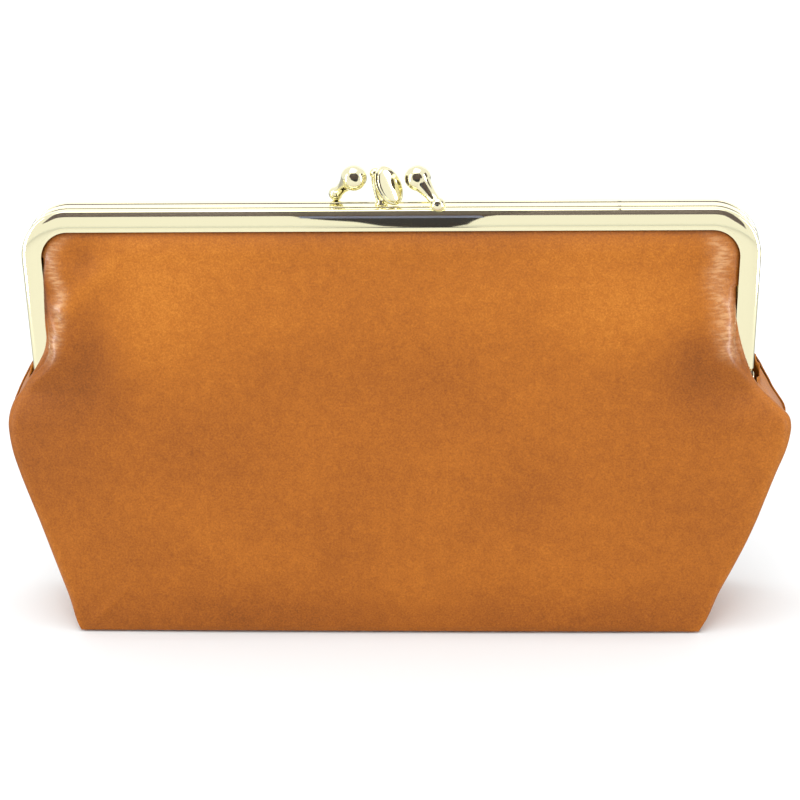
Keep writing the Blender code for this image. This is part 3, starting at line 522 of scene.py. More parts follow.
def skin_marks(x, z, rim, off_edge, width, lift, rough):
    """How light a skin is painted, with painted light and shade, and how creased it is at each point."""
    out = np.abs(x)
    crease_mark = hump(off_edge, 0.30 * width, np.where(x < 0, 1.65, 2.7))
    crease_mark = crease_mark * ease((z - 70) / 6) * ease((106 - z) / 4)
    # Painted light: the upper part is lighter, most either side of the middle; painted shade darkens the
    # rows near the base.
    top = ease((z - 55) / 35)
    light = 0.50 + 0.08 * top + 0.09 * top * hump(out, 62, 24) - 0.15 * ease((17 - z) / 15)
    # Painted shade in the hollows below the legs' ends, deeper at the left; then the left ear darker and the
    # right ear lighter.
    light = light - 0.20 * hump(out, 82, 12) * hump(z, 68, 11) * np.where(x < 0, 1.0, 0.7)
    light = light + np.where(x < 0, -0.10, 0.06) * hump(out, 99, 16) * hump(z, 46, 22)
    # Lighter low in the middle; the side edges below the hinges are lighter, part wear and part painted
    # sheen.
    light = light + 0.06 * hump(x, 0, 60) * hump(z, 26, 20)
    light = light + 0.16 * ease((rim - 0.96) / 0.04) * ease((70 - z) / 8)
    # Painted shade under the rail's lip and in the crevice along each leg's inner edge.
    light = light - 0.75 * np.exp(-np.maximum(0.0, CHANNEL_OPEN - z) / 0.75)
    light = light - 0.60 * np.exp(-np.maximum(0.0, off_edge) / 0.6) * ease((z - 80) / 8)
    # Painted light on the swells and rises, by their height; a broad patch low at the left is darker.
    light = light + lift * 0.22 + rough * 0.08 - 0.05 * hump(x, -68, 26) * hump(z, 52, 20)
    return {"tone": light, "crease": crease_mark}


def skin_grid(half, side, seed):
    """Points of a skin and what is marked on them."""
    heights, base, arc = skin_rows()
    shares = skin_shares()
    z = np.repeat(heights[:, None], len(shares), 1)
    rightward = shares[None, :] >= 0
    reach = np.where(rightward, skin_reach(z, half, 1), skin_reach(z, half, -1))
    turn_in = np.where(rightward, TUCK_IN[half, 1], TUCK_IN[half, -1])
    length = np.where(rightward, TURN_LENGTH[half, 1], TURN_LENGTH[half, -1])
    x = shares[None, :] * reach
    rough = unevenness(x, z, 26, 20, seed)
    inner = mix(reach, np.minimum(reach, opening_half(z) - 0.3), ease((z - 66) / 12))
    share = np.clip(np.abs(x) / inner, 0.0, 1.0)
    width = np.where(rightward, SHOULDER[1](z), SHOULDER[-1](z)) * (1 + 0.10 * np.sin(z / 1.9 + seed))
    off_edge = inner - np.abs(x)
    bend = np.clip(1 - off_edge / width, 0.0, 1.0)
    low_form = 1 - share ** mix(3.0, 6.0, np.clip(z / 70, 0, 1))
    high_form = np.sqrt(1 - bend * bend) * (1 - 0.12 * share * share)
    fullness = mix(low_form, high_form, ease((z - 62) / 15))
    puff = 1.15 * (1 - np.exp(-np.maximum(0.0, CHANNEL_OPEN - z) / 2.2)) * ease((z - 56) / 26)
    depth = mix(edge_depth(z, turn_in, length), middle_depth(z) + puff, fullness)
    free = ease((CHANNEL_OPEN - z) / 6) * ease((1 - np.abs(shares)) / 0.02)[None, :]
    lift = gathers(x, z, seed) if half == "front" else gathers(-x, z, seed)
    depth = depth + (lift + rough * 0.5 * ease((z - 6) / 10)) * free
    lap = 0.9 * ease((turn_in - length - z) / 3)
    turn = mix(SIDE_TURN * ease((z - 1.5) / 6), lap, ease((z - 58) / 8))
    out = np.clip(1 - (reach - np.abs(x)) / np.maximum(turn, 1e-3), 0.0, 1.0)
    depth = depth - turn * (1 - np.sqrt(1 - out * out))
    depth = np.where(arc[:, None] < 1, mix(FLAT_DEPTH, depth, arc[:, None]), depth)
    depth = np.where(base[:, None] < 1, FLAT_DEPTH * base[:, None], depth)
    grid = np.stack([x, side * depth, z], 2)
    rim = np.abs(shares)[None, :]
    return grid, skin_marks(x, z, rim, off_edge, width, lift, rough)


# %% Make the skins
CARRIER = {"front": "front_half", "middle": "bag", "back": "back_half"}


def dress(piece, nodes, body, swinging=None):
    """Hide the nodes a piece stands for, and hang it on its body's empty; a swinging piece only has its
    place baked into its mesh.
    """
    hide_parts(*nodes)
    if swinging:
        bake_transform(piece)
    else:
        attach(piece, body)


for half, side, seed in (("front", -1, 3.0), ("back", 1, 8.0)):
    grid, marks = skin_grid(half, side, seed)
    skin = grid_piece(half + "_skin", grid[:, ::-side], SKIN, leather, marks)
    dress(skin, [half + "_panel", half + "_panel_fold"], "bag", CARRIER[half])
    farthest = round(abs(grid[..., 1]).max(), 1)
    print(skin.name, len(skin.data.polygons), "faces, out to", farthest, "mm")
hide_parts("outer_shell")

# %% [markdown]
# ## Gussets
# Between the skins each side has a narrow leather, folded inward like bellows, so that
# the bag can open. Its edges are sewn behind the turned edges of the skins. Its top
# edge covers the rivet and ends about where the legs end, higher at the back.

# %% Make the gussets
def gusset_grid(sign):
    """A folded side leather: rows from the base up, columns from front to back."""
    shares = np.linspace(-1.0, 1.0, 41)[None, :]
    rise = np.linspace(0.0, 1.0, 64)[:, None]
    top = mix(65.6, 69.2, (shares + 1) / 2) - 1.2 * (1 - shares * shares)
    z = mix(1.0, top, rise)
    half = mix(EDGES["front", sign](z), EDGES["back", sign](z), (shares + 1) / 2) - 0.5
    clear = 95.8 - 0.85 * ease((np.abs(shares) - 0.45) / 0.25)
    half = np.maximum(half, clear * ease((z - 56) / 4))
    fold = np.minimum(4.8 * ease(z / 26) * ease((60 - z) / 26), np.maximum(0.0, half - clear))
    x = half - fold * (1 - np.abs(shares) ** 1.35)
    ripple = 0.25 * np.sin(z / 3.1 + 4 * shares) * (1 - shares * shares)
    ripple = ripple * ease(z / 30) * ease((58 - z) / 9)
    wall = edge_depth(z) - 0.4 - SIDE_TURN * ease((z - 1.5) / 6)
    grid = np.stack([sign * (x + ripple), shares * wall, z], 2)
    # Painted light: the gusset is lighter toward its top, where it lies in shade, and toward its front and
    # back edges, with a gentle banding; a faint painted highlight runs down its middle fold with the crease.
    gusset_tone_and_painted_light = 0.52 + 0.16 * np.abs(shares) ** 3 + 0.05 * np.sin(z / 9) + 0.16 * ease((z - 50) / 12)
    return grid, {"tone": gusset_tone_and_painted_light, "crease": 0.12 * (1 - shares * shares) + 0 * z}


for name, sign in (("left", -1), ("right", 1)):
    grid, marks = gusset_grid(sign)
    gusset = grid_piece(name + "_side", grid[:, ::sign], SKIN, leather, marks)
    dress(gusset, [name + "_gusset"], "bag")
    print(gusset.name, len(gusset.data.polygons), "faces")

# %% [markdown]
# ## Linings
# Each compartment has a cotton lining: one sheet hangs from the channel down the inside
# of the skin and runs under to the divider, and side pieces close its ends. The divider
# wears a sheet on each face, stretched over the card. Their cut sizes are measured on
# the sheets before they get their thickness.

# %% Make the linings
CLOTH = 0.5


def inside_half(height):
    """Half the length of the room between the gussets."""
    low = np.minimum(EDGES["front", 1](height), EDGES["front", -1](height))
    return np.minimum(low - 4.8 * ease(height / 26) - 2.4, opening_half(height) - 0.9)


def lining_grid(side, seed):
    """A lining from the divider's foot, under the floor and up into the channel."""
    heights = np.concatenate([np.full(4, 3.3), np.linspace(3.6, CORNER_HEIGHT, 50),
                              CORNER_HEIGHT + 8.6 * np.sin(np.linspace(0, math.pi / 2, 11)[1:])])
    shares = np.sin(np.linspace(-1.0, 1.0, 61) * math.pi / 2) * 0.4 + np.linspace(-1.0, 1.0, 61) * 0.6
    z = np.repeat(heights[:, None], 61, 1)
    half = mix(inside_half(z), tucked_half(z) - 0.4, ease((z - 84.0) / 3))
    x = shares[None, :] * half
    share = np.clip(np.abs(x) / (opening_half(z) - 0.5), 0.0, 1.0)
    outer = mix(edge_depth(z), middle_depth(z), 1 - share ** mix(3.0, 7.0, z / FRAME_TOP))
    soft = unevenness(x, z, 14, 30, seed)
    room = ease((CHANNEL_OPEN - z) / 12)
    depth = outer - 1.05 - room * (1.5 + 0.7 * soft + 1.4 * hump(np.abs(x), 80, 10) * hump(z, 74, 12))
    depth = depth * mix(0.80, 1.0, ease(z / 9))
    floor = np.concatenate([np.linspace(0.12, 0.85, 4), np.ones(len(heights) - 4)])
    return np.stack([x, side * depth * floor[:, None], z], 2)


def end_grid(side, sign):
    """The end of a compartment's lining, from the divider to the skin."""
    z = np.repeat(np.linspace(3.3, 58.0, 34)[:, None], 13, 1)
    share = np.linspace(0.0, 1.0, 13)[None, :]
    half = inside_half(z) + 0.35
    reach = edge_depth(z) * mix(0.80, 1.0, ease(z / 9)) - 2.6
    return np.stack([sign * (half + 0.8 * share), side * mix(1.2, reach, share), z], 2)


def join(name, pieces):
    """Several pieces of cloth as one object."""
    mesh = bmesh.new()
    for piece in pieces:
        mesh.from_mesh(piece.data)
        bpy.data.objects.remove(piece)
    data = bpy.data.meshes.new(name)
    mesh.to_mesh(data)
    mesh.free()
    return link(name, data, cloth)


for half, side, seed in (("front", -1, 21.0), ("back", 1, 27.0)):
    grid = lining_grid(side, seed)
    lining = grid_piece(half + "_lining", grid[:, ::-side], CLOTH, cloth)
    dress(lining, [half + "_upper_lining", half + "_lining_fold"], "bag", CARRIER[half])
    half + "_frame"
    ends = join(half + "_lining_ends", [
        grid_piece("end", end_grid(side, sign)[:, ::-side * sign], CLOTH, cloth) for sign in (-1, 1)])
    dress(ends, [half + "_pocket_lining"], "bag")

# %% Make the divider
for half, side, seed in (("front", -1, 33.0), ("back", 1, 37.0)):
    heights = np.concatenate([np.linspace(3.6, CORNER_HEIGHT, 40),
                              CORNER_HEIGHT + 8.5 * np.sin(np.linspace(0, math.pi / 2, 10)[1:])])
    z = np.repeat(heights[:, None], 41, 1)
    reach = mix(inside_half(z), opening_half(z) - 0.6, ease((z - 59) / 5))
    reach = np.where(z < 82.0, reach, tucked_half(z) - 0.5)
    x = np.linspace(-1.0, 1.0, 41)[None, :] * reach
    puff = unevenness(x, z, 18, 18, seed)
    depth = 0.8 + 0.25 * ease((CHANNEL_OPEN - z) / 10) * (1 + puff)
    grid = np.stack([x, side * depth, z], 2)
    facing = grid_piece("divider_" + half + "_cloth", grid[:, ::-side], CLOTH, cloth)
    dress(facing, ["divider_" + half + "_lining"], "bag")
for node in ("divider_board", "base_board"):
    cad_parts[node].data.materials.clear()
    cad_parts[node].data.materials.append(card.material)

# %% [markdown]
# ## Frames
# A frame is a strip of metal rolled to a channel, then bent to an upside-down U. That
# is one section following one path, so Geometry Nodes make it: a path of four points,
# rounded by Fillet Curve, and Curve to Mesh with the section on it. What a polished
# rail shows depends on how far each part of its face leans, so a face is written as
# its lean along its length. The two faces that show from outside are crowned, and the
# edges that look into the narrow gaps are sharp, which draws a dark line there.

# %% The tree that draws a section along a path
def follow_tree(name, twisted=False):
    """Geometry nodes: a rounded path, twisted where asked, a section on it, and a finish."""
    tree = bpy.data.node_groups.new(name, "GeometryNodeTree")
    for label, kind in (("Path", "Geometry"), ("Section", "Object"), ("Corner Radius", "Float"),
                        ("Corner Steps", "Int"), ("Finish", "Material")):
        tree.interface.new_socket(label, in_out="INPUT", socket_type="NodeSocket" + kind)
    for label in ("Step", "Turn Per Metre") if twisted else ():
        tree.interface.new_socket(label, in_out="INPUT", socket_type="NodeSocketFloat")
    tree.interface.new_socket("Result", in_out="OUTPUT", socket_type="NodeSocketGeometry")
    start = tree.nodes.new("NodeGroupInput")
    given = {socket.name: Wire(socket) for socket in start.outputs if socket.name}
    line = place_node(tree, "GeometryNodeFilletCurve", {"mode": "POLY"}, {
        "Curve": given["Path"], "Radius": given["Corner Radius"], "Count": given["Corner Steps"]})
    if twisted:
        line = place_node(tree, "GeometryNodeResampleCurve", {"mode": "LENGTH"},
                          {"Curve": line, "Length": given["Step"]})
        along = place_node(tree, "GeometryNodeSplineParameter", {}, {}, "Length")
        line = place_node(tree, "GeometryNodeSetCurveTilt", {},
                          {"Curve": line, "Tilt": along * given["Turn Per Metre"]})
    section = place_node(tree, "GeometryNodeObjectInfo", {}, {"Object": given["Section"]}, "Geometry")
    drawn = place_node(tree, "GeometryNodeCurveToMesh", {}, {
        "Curve": line, "Profile Curve": section, "Fill Caps": True})
    solid = place_node(tree, "GeometryNodeRealizeInstances", {}, {"Geometry": drawn})
    painted = place_node(tree, "GeometryNodeSetMaterial", {},
                         {"Geometry": solid, "Material": given["Finish"]})
    tree.links.new(painted.socket, tree.nodes.new("NodeGroupOutput").inputs[0])
    return tree


def line_object(name, points, closed=False):
    """A curve of straight pieces through points in millimetres."""
    data = bpy.data.curves.new(name, "CURVE")
    data.dimensions = "3D"
    spline = data.splines.new("POLY")
    spline.points.add(len(points) - 1)
    for place, point in zip(spline.points, points):
        place.co = (*[value * MM for value in point], 1.0)
    spline.use_cyclic_u = closed
    return enter(name, data)


def run_tree(tree, section_points, path_points, settings):
    """Draw a section along a path, and give the result as a bmesh in millimetres."""
    section = line_object("section", section_points, True)
    path = line_object("path", path_points)
    step = path.modifiers.new("build", "NODES")
    step.node_group = tree
    settings = {"Section": section, **settings}
    for item in tree.interface.items_tree:
        if item.in_out == "INPUT" and item.name in settings:
            step[item.identifier] = settings[item.name]
    shape = path.evaluated_get(bpy.context.evaluated_depsgraph_get())
    plain = bpy.data.meshes.new_from_object(shape)
    for tool in (section, path):
        bpy.data.objects.remove(tool)
    mesh = bmesh.new()
    mesh.from_mesh(plain)
    bmesh.ops.scale(mesh, vec=(1 / MM,) * 3, verts=mesh.verts)
    return mesh


channel = follow_tree("roll_channel")
print("tree:", channel.name, len(channel.nodes), "nodes")

# %% Sections and paths of the frames
METAL = 0.6

def face_shape(lean):
    """A face as (up, inward) points, from how far it leans in, in degrees, along its length."""
    steps = np.linspace(0.0, lean[-1][0], 144)
    angles = np.radians(np.interp(steps, *zip(*lean)))
    up = np.cumsum(np.cos(angles)) * (steps[1] - steps[0])
    inward = np.cumsum(np.sin(angles)) * (steps[1] - steps[0])
    return list(zip((up - up[0]) * RAIL_FACE / (up[-1] - up[0]), inward - inward[0]))


CROWN = face_shape(((0, 1), (0.92, 6), (0.95, 20), (1.01, 20), (1.04, 6.5), (2.42, 11), (3.2, 15.5),
                    (3.75, 20.5), (4.98, 36), (5.06, 50), (5.72, 88)))
ROUND = face_shape(((0, 0), (4.3, 0), (5.95, 90)))
MIDDLE_FACE = face_shape(((0, 0), (5.02, 0), (5.12, 26), (5.34, 34), (5.42, 78), (5.6, 88)))
BACK_FACE = face_shape(((0, 0), (4.9, 0), (5.0, 24), (5.38, 35), (5.46, 78), (5.6, 88)))
print("the crown leans in by", round(CROWN[-1][1], 2), "mm")


def half_section(shape, sign):
    """One outer face of the channel, from its open edge up to its top."""
    lip = [(sign * (RAIL_DEPTH / 2 - 0.16), -RAIL_FACE), (sign * RAIL_DEPTH / 2, 0.14 - RAIL_FACE)]
    return lip + [(sign * (RAIL_DEPTH / 2 - inward), up - RAIL_FACE) for up, inward in shape[1:]]


def channel_section(front, back):
    """A closed channel section, as places across the rail and out from its path."""
    outside = half_section(front, -1) + half_section(back, 1)[::-1]
    walls = []
    for shape, sign in ((back, 1), (front, -1)):
        ups = (0.0, 1.4, 2.5, 3.5, 4.5)
        leans = np.interp(ups, *zip(*shape))
        wall = [(sign * (RAIL_DEPTH / 2 - METAL - lean), up - RAIL_FACE) for up, lean in zip(ups, leans)]
        walls += wall[::sign]
    return [(across, out, 0.0) for across, out in outside + walls]


def frame_path(middle):
    """The four points of a frame's outer line, from the left foot to the right foot."""
    corner = CORNER_HALF + CORNER_RADIUS * (1 + math.sin(LEAN)) / math.cos(LEAN)
    foot = corner - (FRAME_TOP - LEG_END) * math.tan(LEAN)
    right = [(corner, middle, FRAME_TOP), (foot, middle, LEG_END)]
    return [(-x, y, z) for x, y, z in right[::-1]] + right


# %% [markdown]
# ### Hinge plates
# At each side the three legs end in thin plates with round eyes, stacked on one rivet:
# from outside to inside the middle frame's, the front's and the back's. The plates are
# stamped shapes, so they are drawn as outlines and given a thickness.

# %% Draw the plates
EYE_RADIUS, PLATE_GAP = 3.0, 0.3


def prism(mesh, outline, shift):
    """A flat outline given a thickness."""
    low = [mesh.verts.new(point) for point in outline]
    high = [mesh.verts.new(point + shift) for point in outline]
    mesh.faces.new(low)
    mesh.faces.new(high)
    for step in range(len(low)):
        after = (step + 1) % len(low)
        mesh.faces.new((low[step], low[after], high[after], high[step]))


def eye_plane(order):
    """How far out a plate's outer face is, by its place from the outside in."""
    leg = FRAME_HALF - (CORNER_HEIGHT - LEG_END) * math.tan(LEAN)
    return leg - 0.1 - order * (METAL + PLATE_GAP)


def add_plates(mesh, middle, order):
    """An eye round each rivet with a stem into each leg."""
    slot_half = RAIL_DEPTH / 2 - METAL - 0.15
    near, far, rise = middle - slot_half, middle + slot_half, LEG_END - HINGE_HEIGHT
    start = math.atan2(rise, near) + math.acos(EYE_RADIUS / math.hypot(near, rise))
    end = math.atan2(rise, far) - math.acos(EYE_RADIUS / math.hypot(far, rise)) + math.tau
    outline = [(near, LEG_END + 7), (near, LEG_END)]
    for angle in np.linspace(start, end, 30):
        outline.append((EYE_RADIUS * math.cos(angle), HINGE_HEIGHT + EYE_RADIUS * math.sin(angle)))
    outline += [(far, LEG_END), (far, LEG_END + 7)]
    for sign in (-1, 1):
        plate = [Vector((sign * eye_plane(order), y, z)) for y, z in outline]
        prism(mesh, plate, Vector((-sign * METAL, 0.0, 0.0)))


# %% Roll the frames
for half, middle, order, shapes in (
        ("front", -RAIL_PITCH, 1, (CROWN, ROUND)), ("middle", 0.0, 0, (MIDDLE_FACE, ROUND)),
        ("back", RAIL_PITCH, 2, (BACK_FACE, CROWN))):
    mesh = run_tree(channel, channel_section(*shapes), frame_path(middle), {
        "Corner Radius": CORNER_RADIUS * MM, "Corner Steps": 28, "Finish": gold.material})
    add_plates(mesh, middle, order)
    rail = solid_piece(half + "_rail", mesh, gold, math.radians(24))
    dress(rail, [half + "_frame"], CARRIER[half])
    heights = [vertex.co.z for vertex in rail.data.vertices]
    print(rail.name, len(rail.data.polygons), "faces, top at", round(max(heights) * 1000, 1), "mm")

# %% [markdown]
# ## Rivets
# One pin at each side goes through the three eyes and is hammered to a dome at both ends,
# which holds the stack together and lets it turn.

# %% Turn the rivets
PIN, HEAD, HEAD_RISE = 0.9, 2.2, 0.6
for name, sign in (("left", -1), ("right", 1)):
    inner = eye_plane(2) - METAL - PLATE_GAP - HEAD_RISE
    length = eye_plane(0) + PLATE_GAP + HEAD_RISE - inner
    dome = [(HEAD_RISE * (1 - math.cos(a)), HEAD * math.sin(a))
            for a in np.linspace(0.0, math.pi / 2, 9)]
    half_pin = dome + [(HEAD_RISE, PIN)]
    profile = half_pin + [(length - along, radius) for along, radius in reversed(half_pin)]
    mesh = bmesh.new()
    turned(mesh, profile, Vector((sign * inner, 0.0, HINGE_HEIGHT)), Vector((sign, 0.0, 0.0)), 40)
    rivet = solid_piece(name + "_rivet", mesh, gold)
    dress(rivet, [name + "_hinge_rivet"], "bag")
    print(rivet.name, round(length, 2), "mm long")

# %% [markdown]
# ## Clasp
# It is a kiss lock of three pieces. A ball on each outer frame leans in over the rails,
# and snaps past the oval leaf that stands on the middle one. A ball, its tapering neck and
# its foot are one casting, so they are one turned profile. The leaf is a pebble-like
# oval with a step round its rim, on an arm that ends in a small round boss.

# %% Turn the balls
BALL, FOOT = 3.4, 1.9
BALL_PLACE = {"front": (7.6, -0.3, 118.75), "back": (-8.85, 0.3, 118.7)}
FOOT_PLACE = {"front": (12.85, -4.6, 112.9), "back": (-13.9, 4.2, 113.45)}
for half in ("front", "back"):
    foot, ball = Vector(FOOT_PLACE[half]), Vector(BALL_PLACE[half])
    length = (ball - foot).length
    foot_end, ball_end = math.radians(125), math.radians(136)
    waist = [(-FOOT * math.cos(a), FOOT * math.sin(a)) for a in np.linspace(0.0, foot_end, 22)]
    shoulder = (length + BALL * math.cos(ball_end), BALL * math.sin(ball_end))
    neck = []
    for t in np.linspace(0.0, 1.0, 12)[1:-1]:
        radius = mix(waist[-1][1], shoulder[1], t) - 0.42 * math.sin(math.pi * t) * (1 - 0.4 * t)
        neck.append((mix(waist[-1][0], shoulder[0], t), radius))
    cap = [(length + BALL * math.cos(a), BALL * math.sin(a))
           for a in np.linspace(ball_end, 0.0, 30)]
    profile = waist + neck + cap[:-1] + [(length + BALL, 0.0)]
    mesh = bmesh.new()
    turned(mesh, profile, foot, ball - foot, 56)
    catch = solid_piece(half + "_catch", mesh, gold, math.radians(60))
    dress(catch, [half + "_clasp"], CARRIER[half])
    print(catch.name, "neck", round(length - BALL - FOOT, 2), "mm")

# %% Shape the leaf
centre = Vector((0.2, -0.5, 116.8))
facing = Vector((0.56, -0.76, 0.33)).normalized()
lie = Vector((0.47, -0.1, -0.876))
along = (lie - facing * lie.dot(facing)).normalized()
across = facing.cross(along)
rim = [(-1.0, 0.80), (-0.95, 0.90), (-0.80, 0.97), (-0.6, 1.0), (0.05, 1.0), (0.20, 0.985),
       (0.28, 0.95)]
step = [(0.30, 0.90), (0.34, 0.885), (0.72, 0.875), (0.86, 0.85), (0.93, 0.81)]
face = [(0.95 + 0.18 * (1 - (r / 0.8) ** 2), r) for r in (0.76, 0.68, 0.58, 0.46, 0.32, 0.16, 0.0)]
profile = [(-1.0, 0.0)] + rim + step + face
mesh = bmesh.new()
turned(mesh, profile, Vector(), Vector((0.0, 0.0, 1.0)), 64)
columns = Matrix((along * 5.35, across * 3.6, facing)).transposed().to_4x4()
bmesh.ops.transform(mesh, matrix=Matrix.Translation(centre) @ columns, verts=mesh.verts)
tip = Vector((-3.35, 0.25, 119.9))
start = Vector((-1.9, 0.0, FRAME_TOP + 0.2))
bend = Vector((-4.1, 0.3, 114.8))
collar = [(0.0, 0.0), (0.0, 1.5), (0.35, 1.75), (0.7, 1.7), (1.0, 1.35), (1.6, 1.2), (1.6, 0.0)]
turned(mesh, collar, Vector((start.x, start.y, FRAME_TOP - 0.15)), Vector((0.0, 0.0, 1.0)), 32)
print("leaf:", len(mesh.faces), "faces before its arm")


# %% Sweep the leaf's arm
def tube(mesh, points, radii, steps=24):
    """A round tube with closed ends through points."""
    rings = []
    for index, (point, radius) in enumerate(zip(points, radii)):
        ahead = points[min(index + 1, len(points) - 1)] - points[max(index - 1, 0)]
        turn = Vector((0.0, 0.0, 1.0)).rotation_difference(ahead).to_matrix()
        rings.append([mesh.verts.new(point + turn @ Vector(
            (radius * math.cos(math.tau * s / steps), radius * math.sin(math.tau * s / steps), 0.0)))
            for s in range(steps)])
    for first, second in zip(rings, rings[1:]):
        for s in range(steps):
            after = (s + 1) % steps
            mesh.faces.new((first[s], first[after], second[after], second[s]))
    mesh.faces.new(rings[0])
    mesh.faces.new(rings[-1])


shares = np.linspace(0.0, 1.0, 22)
points = [start.lerp(bend, t).lerp(bend.lerp(tip, t), t) for t in shares]
tube(mesh, points, [mix(0.95, 0.55, min(1.0, 3 * t)) + 0.4 * ease(2 * t - 1.0) for t in shares])
BOSS = 1.45
boss = [(-BOSS * math.cos(a), BOSS * math.sin(a)) for a in np.linspace(0.0, math.pi, 20)]
boss[-1] = (BOSS, 0.0)
turned(mesh, boss, tip, Vector((0.0, 0.0, 1.0)), 40)
leaf = solid_piece("middle_leaf", mesh, gold, math.radians(50))
dress(leaf, ["middle_clasp"], "bag")
print(leaf.name, len(leaf.data.polygons), "faces")

# %% [markdown]
# ## Packing cords
# A channel holds its leather and cloth by friction: a cord of twisted paper is pushed
# in after them. Two strands that wind round each other follow the frame's path, so the
# cord is the same tree with another section, whose tilt grows along the way.

# %% Twist the cords
twist = follow_tree("twist_cord", twisted=True)
CORD_RADIUS, CORD_INSET, CORD_FOOT = 0.8, 2.6, 84.0
strands = []
for angle in np.linspace(0.0, math.tau, 21)[:-1]:
    radius = CORD_RADIUS * (0.72 + 0.28 * abs(math.cos(angle)))
    strands.append((radius * math.cos(angle), radius * math.sin(angle), 0.0))
for half, middle in (("front", -RAIL_PITCH), ("middle", 0.0), ("back", RAIL_PITCH)):
    high, reach = FRAME_TOP - CORD_INSET, CORNER_HALF + CORNER_RADIUS - CORD_INSET
    foot = reach - (CORNER_HEIGHT - CORD_FOOT) * math.tan(LEAN)
    right = [(reach, middle, high), (foot, middle, CORD_FOOT)]
    mesh = run_tree(twist, strands, [(-x, y, z) for x, y, z in right[::-1]] + right, {
        "Corner Radius": (CORNER_RADIUS - CORD_INSET) * MM, "Corner Steps": 12, "Step": 0.0007,
        "Turn Per Metre": 1500.0, "Finish": paper.material})
    twine = solid_piece(half + "_cord", mesh, paper)
    dress(twine, [half + "_packing_cord"], CARRIER[half])
    bends = math.pi * (CORNER_RADIUS - CORD_INSET)
    length = 2 * (CORNER_HALF + math.hypot(CORNER_HEIGHT - CORD_FOOT, 0.5)) + bends
    print(twine.name, len(twine.data.polygons), "faces, about", round(length), "mm long")

# %% [markdown]
# ## Studio
# The purse stands on a white floor in an even white room, which the gold mirrors, with
# soft boxes of light over it and high in front. The rest are cards that only mirrors
# see. A bright one behind whitens the rails' tops, and a narrow strip at each side draws
# the shine down the leather's shoulders. A pale sheet on the floor gives the legs their
# even tone, and grey sheets beside the purse are painted shade standing for the floor's
# shade there, which gives the legs grey edges. A long dark card draws the line along the
# rail's shoulder, and small ones close by make the dark lens in the rail's middle and the
# spots on the balls.

# %% Floor, light and cards
world = bpy.data.worlds.new("white_room")
world.use_nodes = True
room = world.node_tree.nodes["Background"].inputs
room["Color"].default_value, room["Strength"].default_value = (1.0, 1.0, 1.0, 1.0), 1.0
bpy.context.scene.world = world
bpy.context.scene.view_settings.view_transform = "Standard"

floor_finish = Finish("white_floor", Roughness=0.6)
cloud = floor_finish.noise(0.8, 1.0)
floor_finish.wire("Base Color", floor_finish.blend(
    (0.84, 0.87, 0.88, 1.0), (0.86, 0.89, 0.90, 1.0), cloud))
mesh = bmesh.new()
bmesh.ops.create_circle(mesh, cap_ends=True, segments=96, radius=6000.0)
floor = solid_piece("floor", mesh, floor_finish)


def area_light(name, place, aim, size, watts):
    """A soft square light that looks at a point."""
    lamp = bpy.data.lights.new(name, "AREA")
    lamp.energy = watts
    lamp.size = size
    made = enter(name, lamp)
    made.location = place
    made.rotation_euler = (Vector(aim) - Vector(place)).to_track_quat("-Z", "Y").to_euler()


area_light("overhead", (-0.1, -0.20, 1.1), (0.0, 0.0, 0.05), 0.9, 4.0)
area_light("front_box", (0.0, -1.1, 1.1), (0.0, 0.0, 0.06), 0.7, 5.0)


def mirror_card(name, points, paint, glow=0.0):
    """A card that only mirrors see, with its corners in millimetres. It may glow."""
    finish = Finish(name + "_paint", Base_Color=(*paint, 1.0), Roughness=0.9,
                    Emission_Color=(1.0, 1.0, 1.0, 1.0), Emission_Strength=glow)
    mesh = bmesh.new()
    mesh.faces.new([mesh.verts.new(point) for point in points])
    made = solid_piece(name, mesh, finish)
    made.visible_camera = False
    made.visible_diffuse = False
    made.visible_shadow = False


def upright(depth, outline):
    """Corners of a card that stands across the room."""
    return [(x, depth, z) for x, z in outline]


def lying(outline):
    """Corners of a card that lies on the floor."""
    return [(x, y, 0.4) for x, y in outline]


LIT, PALE, GREY, DARK = (0.1,) * 3, (0.70,) * 3, (0.36,) * 3, (0.10, 0.08, 0.09)
mirror_card("rear_card", upright(1000, [(-750, 60), (750, 60), (750, 1100), (-750, 1100)]), LIT, 1.25)
for name, side in (("left", -1), ("right", 1)):
    near, far = (side * 332, -93), (side * 316, -130)
    mirror_card(name + "_strip", [(*near, 2), (*far, 2), (*far, 330), (*near, 330)], LIT, 10.0)
mirror_card("front_sheet", lying([(-1500, -2500), (1500, -2500), (1500, -24), (-1500, -24)]), PALE)
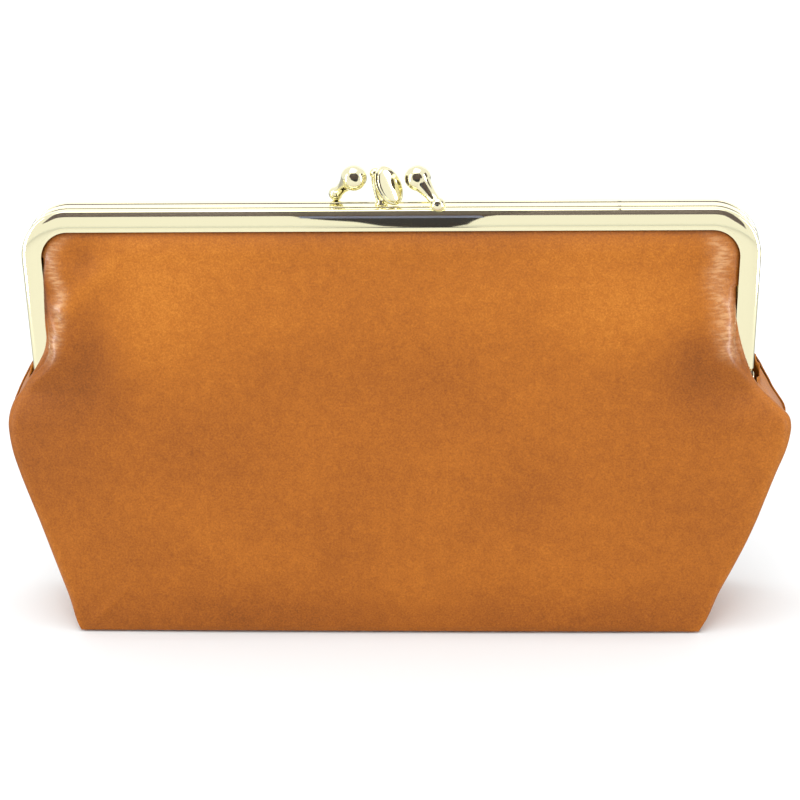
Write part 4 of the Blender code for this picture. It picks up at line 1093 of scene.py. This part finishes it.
# Grey sheets beside the purse: painted shade of the floor there, seen only in mirrors.
for name, side in (("left", -1), ("right", 1)):
    mirror_card(name + "_sheet", lying([
        (side * 700, -24), (side * 112, -24), (side * 112, 600), (side * 700, 600)]), GREY)
mirror_card("long_card", upright(-640, [
    (-560, 350), (-430, 320), (-330, 392), (250, 392), (330, 260), (520, 210), (640, 392), (560, 760),
    (250, 1150), (-250, 1150), (-540, 760)]), (0.115, 0.088, 0.10))
mirror_card("near_card", upright(-40, [
    (-26, 121.2), (-22.8, 116.7), (-18.8, 114.4), (-10, 110.6), (-3.4, 106.2), (3.6, 104.3),
    (14.1, 104.1), (19.2, 107.6), (21.8, 114.2), (24.2, 121.2)]), (0.045, 0.055, 0.085))
mirror_card("blue_card", [(-25, -25.5, 118.5), (23.2, -25.5, 118.5), (24, -39.8, 117.9),
                          (-25.8, -39.8, 117.9)], (0.22, 0.29, 0.60))
mirror_card("high_card", upright(-40, [
    (-26, 121.2), (24.2, 121.2), (36, 138), (36, 153), (26, 168), (0, 175), (-26, 168), (-36, 153),
    (-36, 138)]), DARK)
mirror_card("side_card", [(60, -18, 124), (60, 8, 124), (60, 10, 156), (60, -14, 156)], DARK)

# %% [markdown]
# ## Camera
# The photograph was taken from a little above and slightly to the right, with a long
# lens. The numbers come from fitting the frame's corners and the base to their places
# in the picture.

# %% Camera
DISTANCE, TARGET = 0.8, Vector((0.00183, 0.0, 0.05823))
turn, lift, roll = (math.radians(angle) for angle in (3.41, 19.56, -1.20))
back = Vector((math.sin(turn) * math.cos(lift), -math.cos(turn) * math.cos(lift), math.sin(lift)))
right = Vector((0.0, 0.0, 1.0)).cross(back).normalized()
up = back.cross(right)
leaned = (right * math.cos(roll) + up * math.sin(roll),
          up * math.cos(roll) - right * math.sin(roll), back)
lens = bpy.data.cameras.new("camera")
lens.lens = 136.83
lens.sensor_width = 36.0
camera = enter("camera", lens)
place = Matrix.Translation(TARGET + back * DISTANCE)
camera.matrix_world = place @ Matrix(leaned).transposed().to_4x4()
bpy.context.scene.camera = camera
print("camera at", [round(value, 3) for value in camera.location])
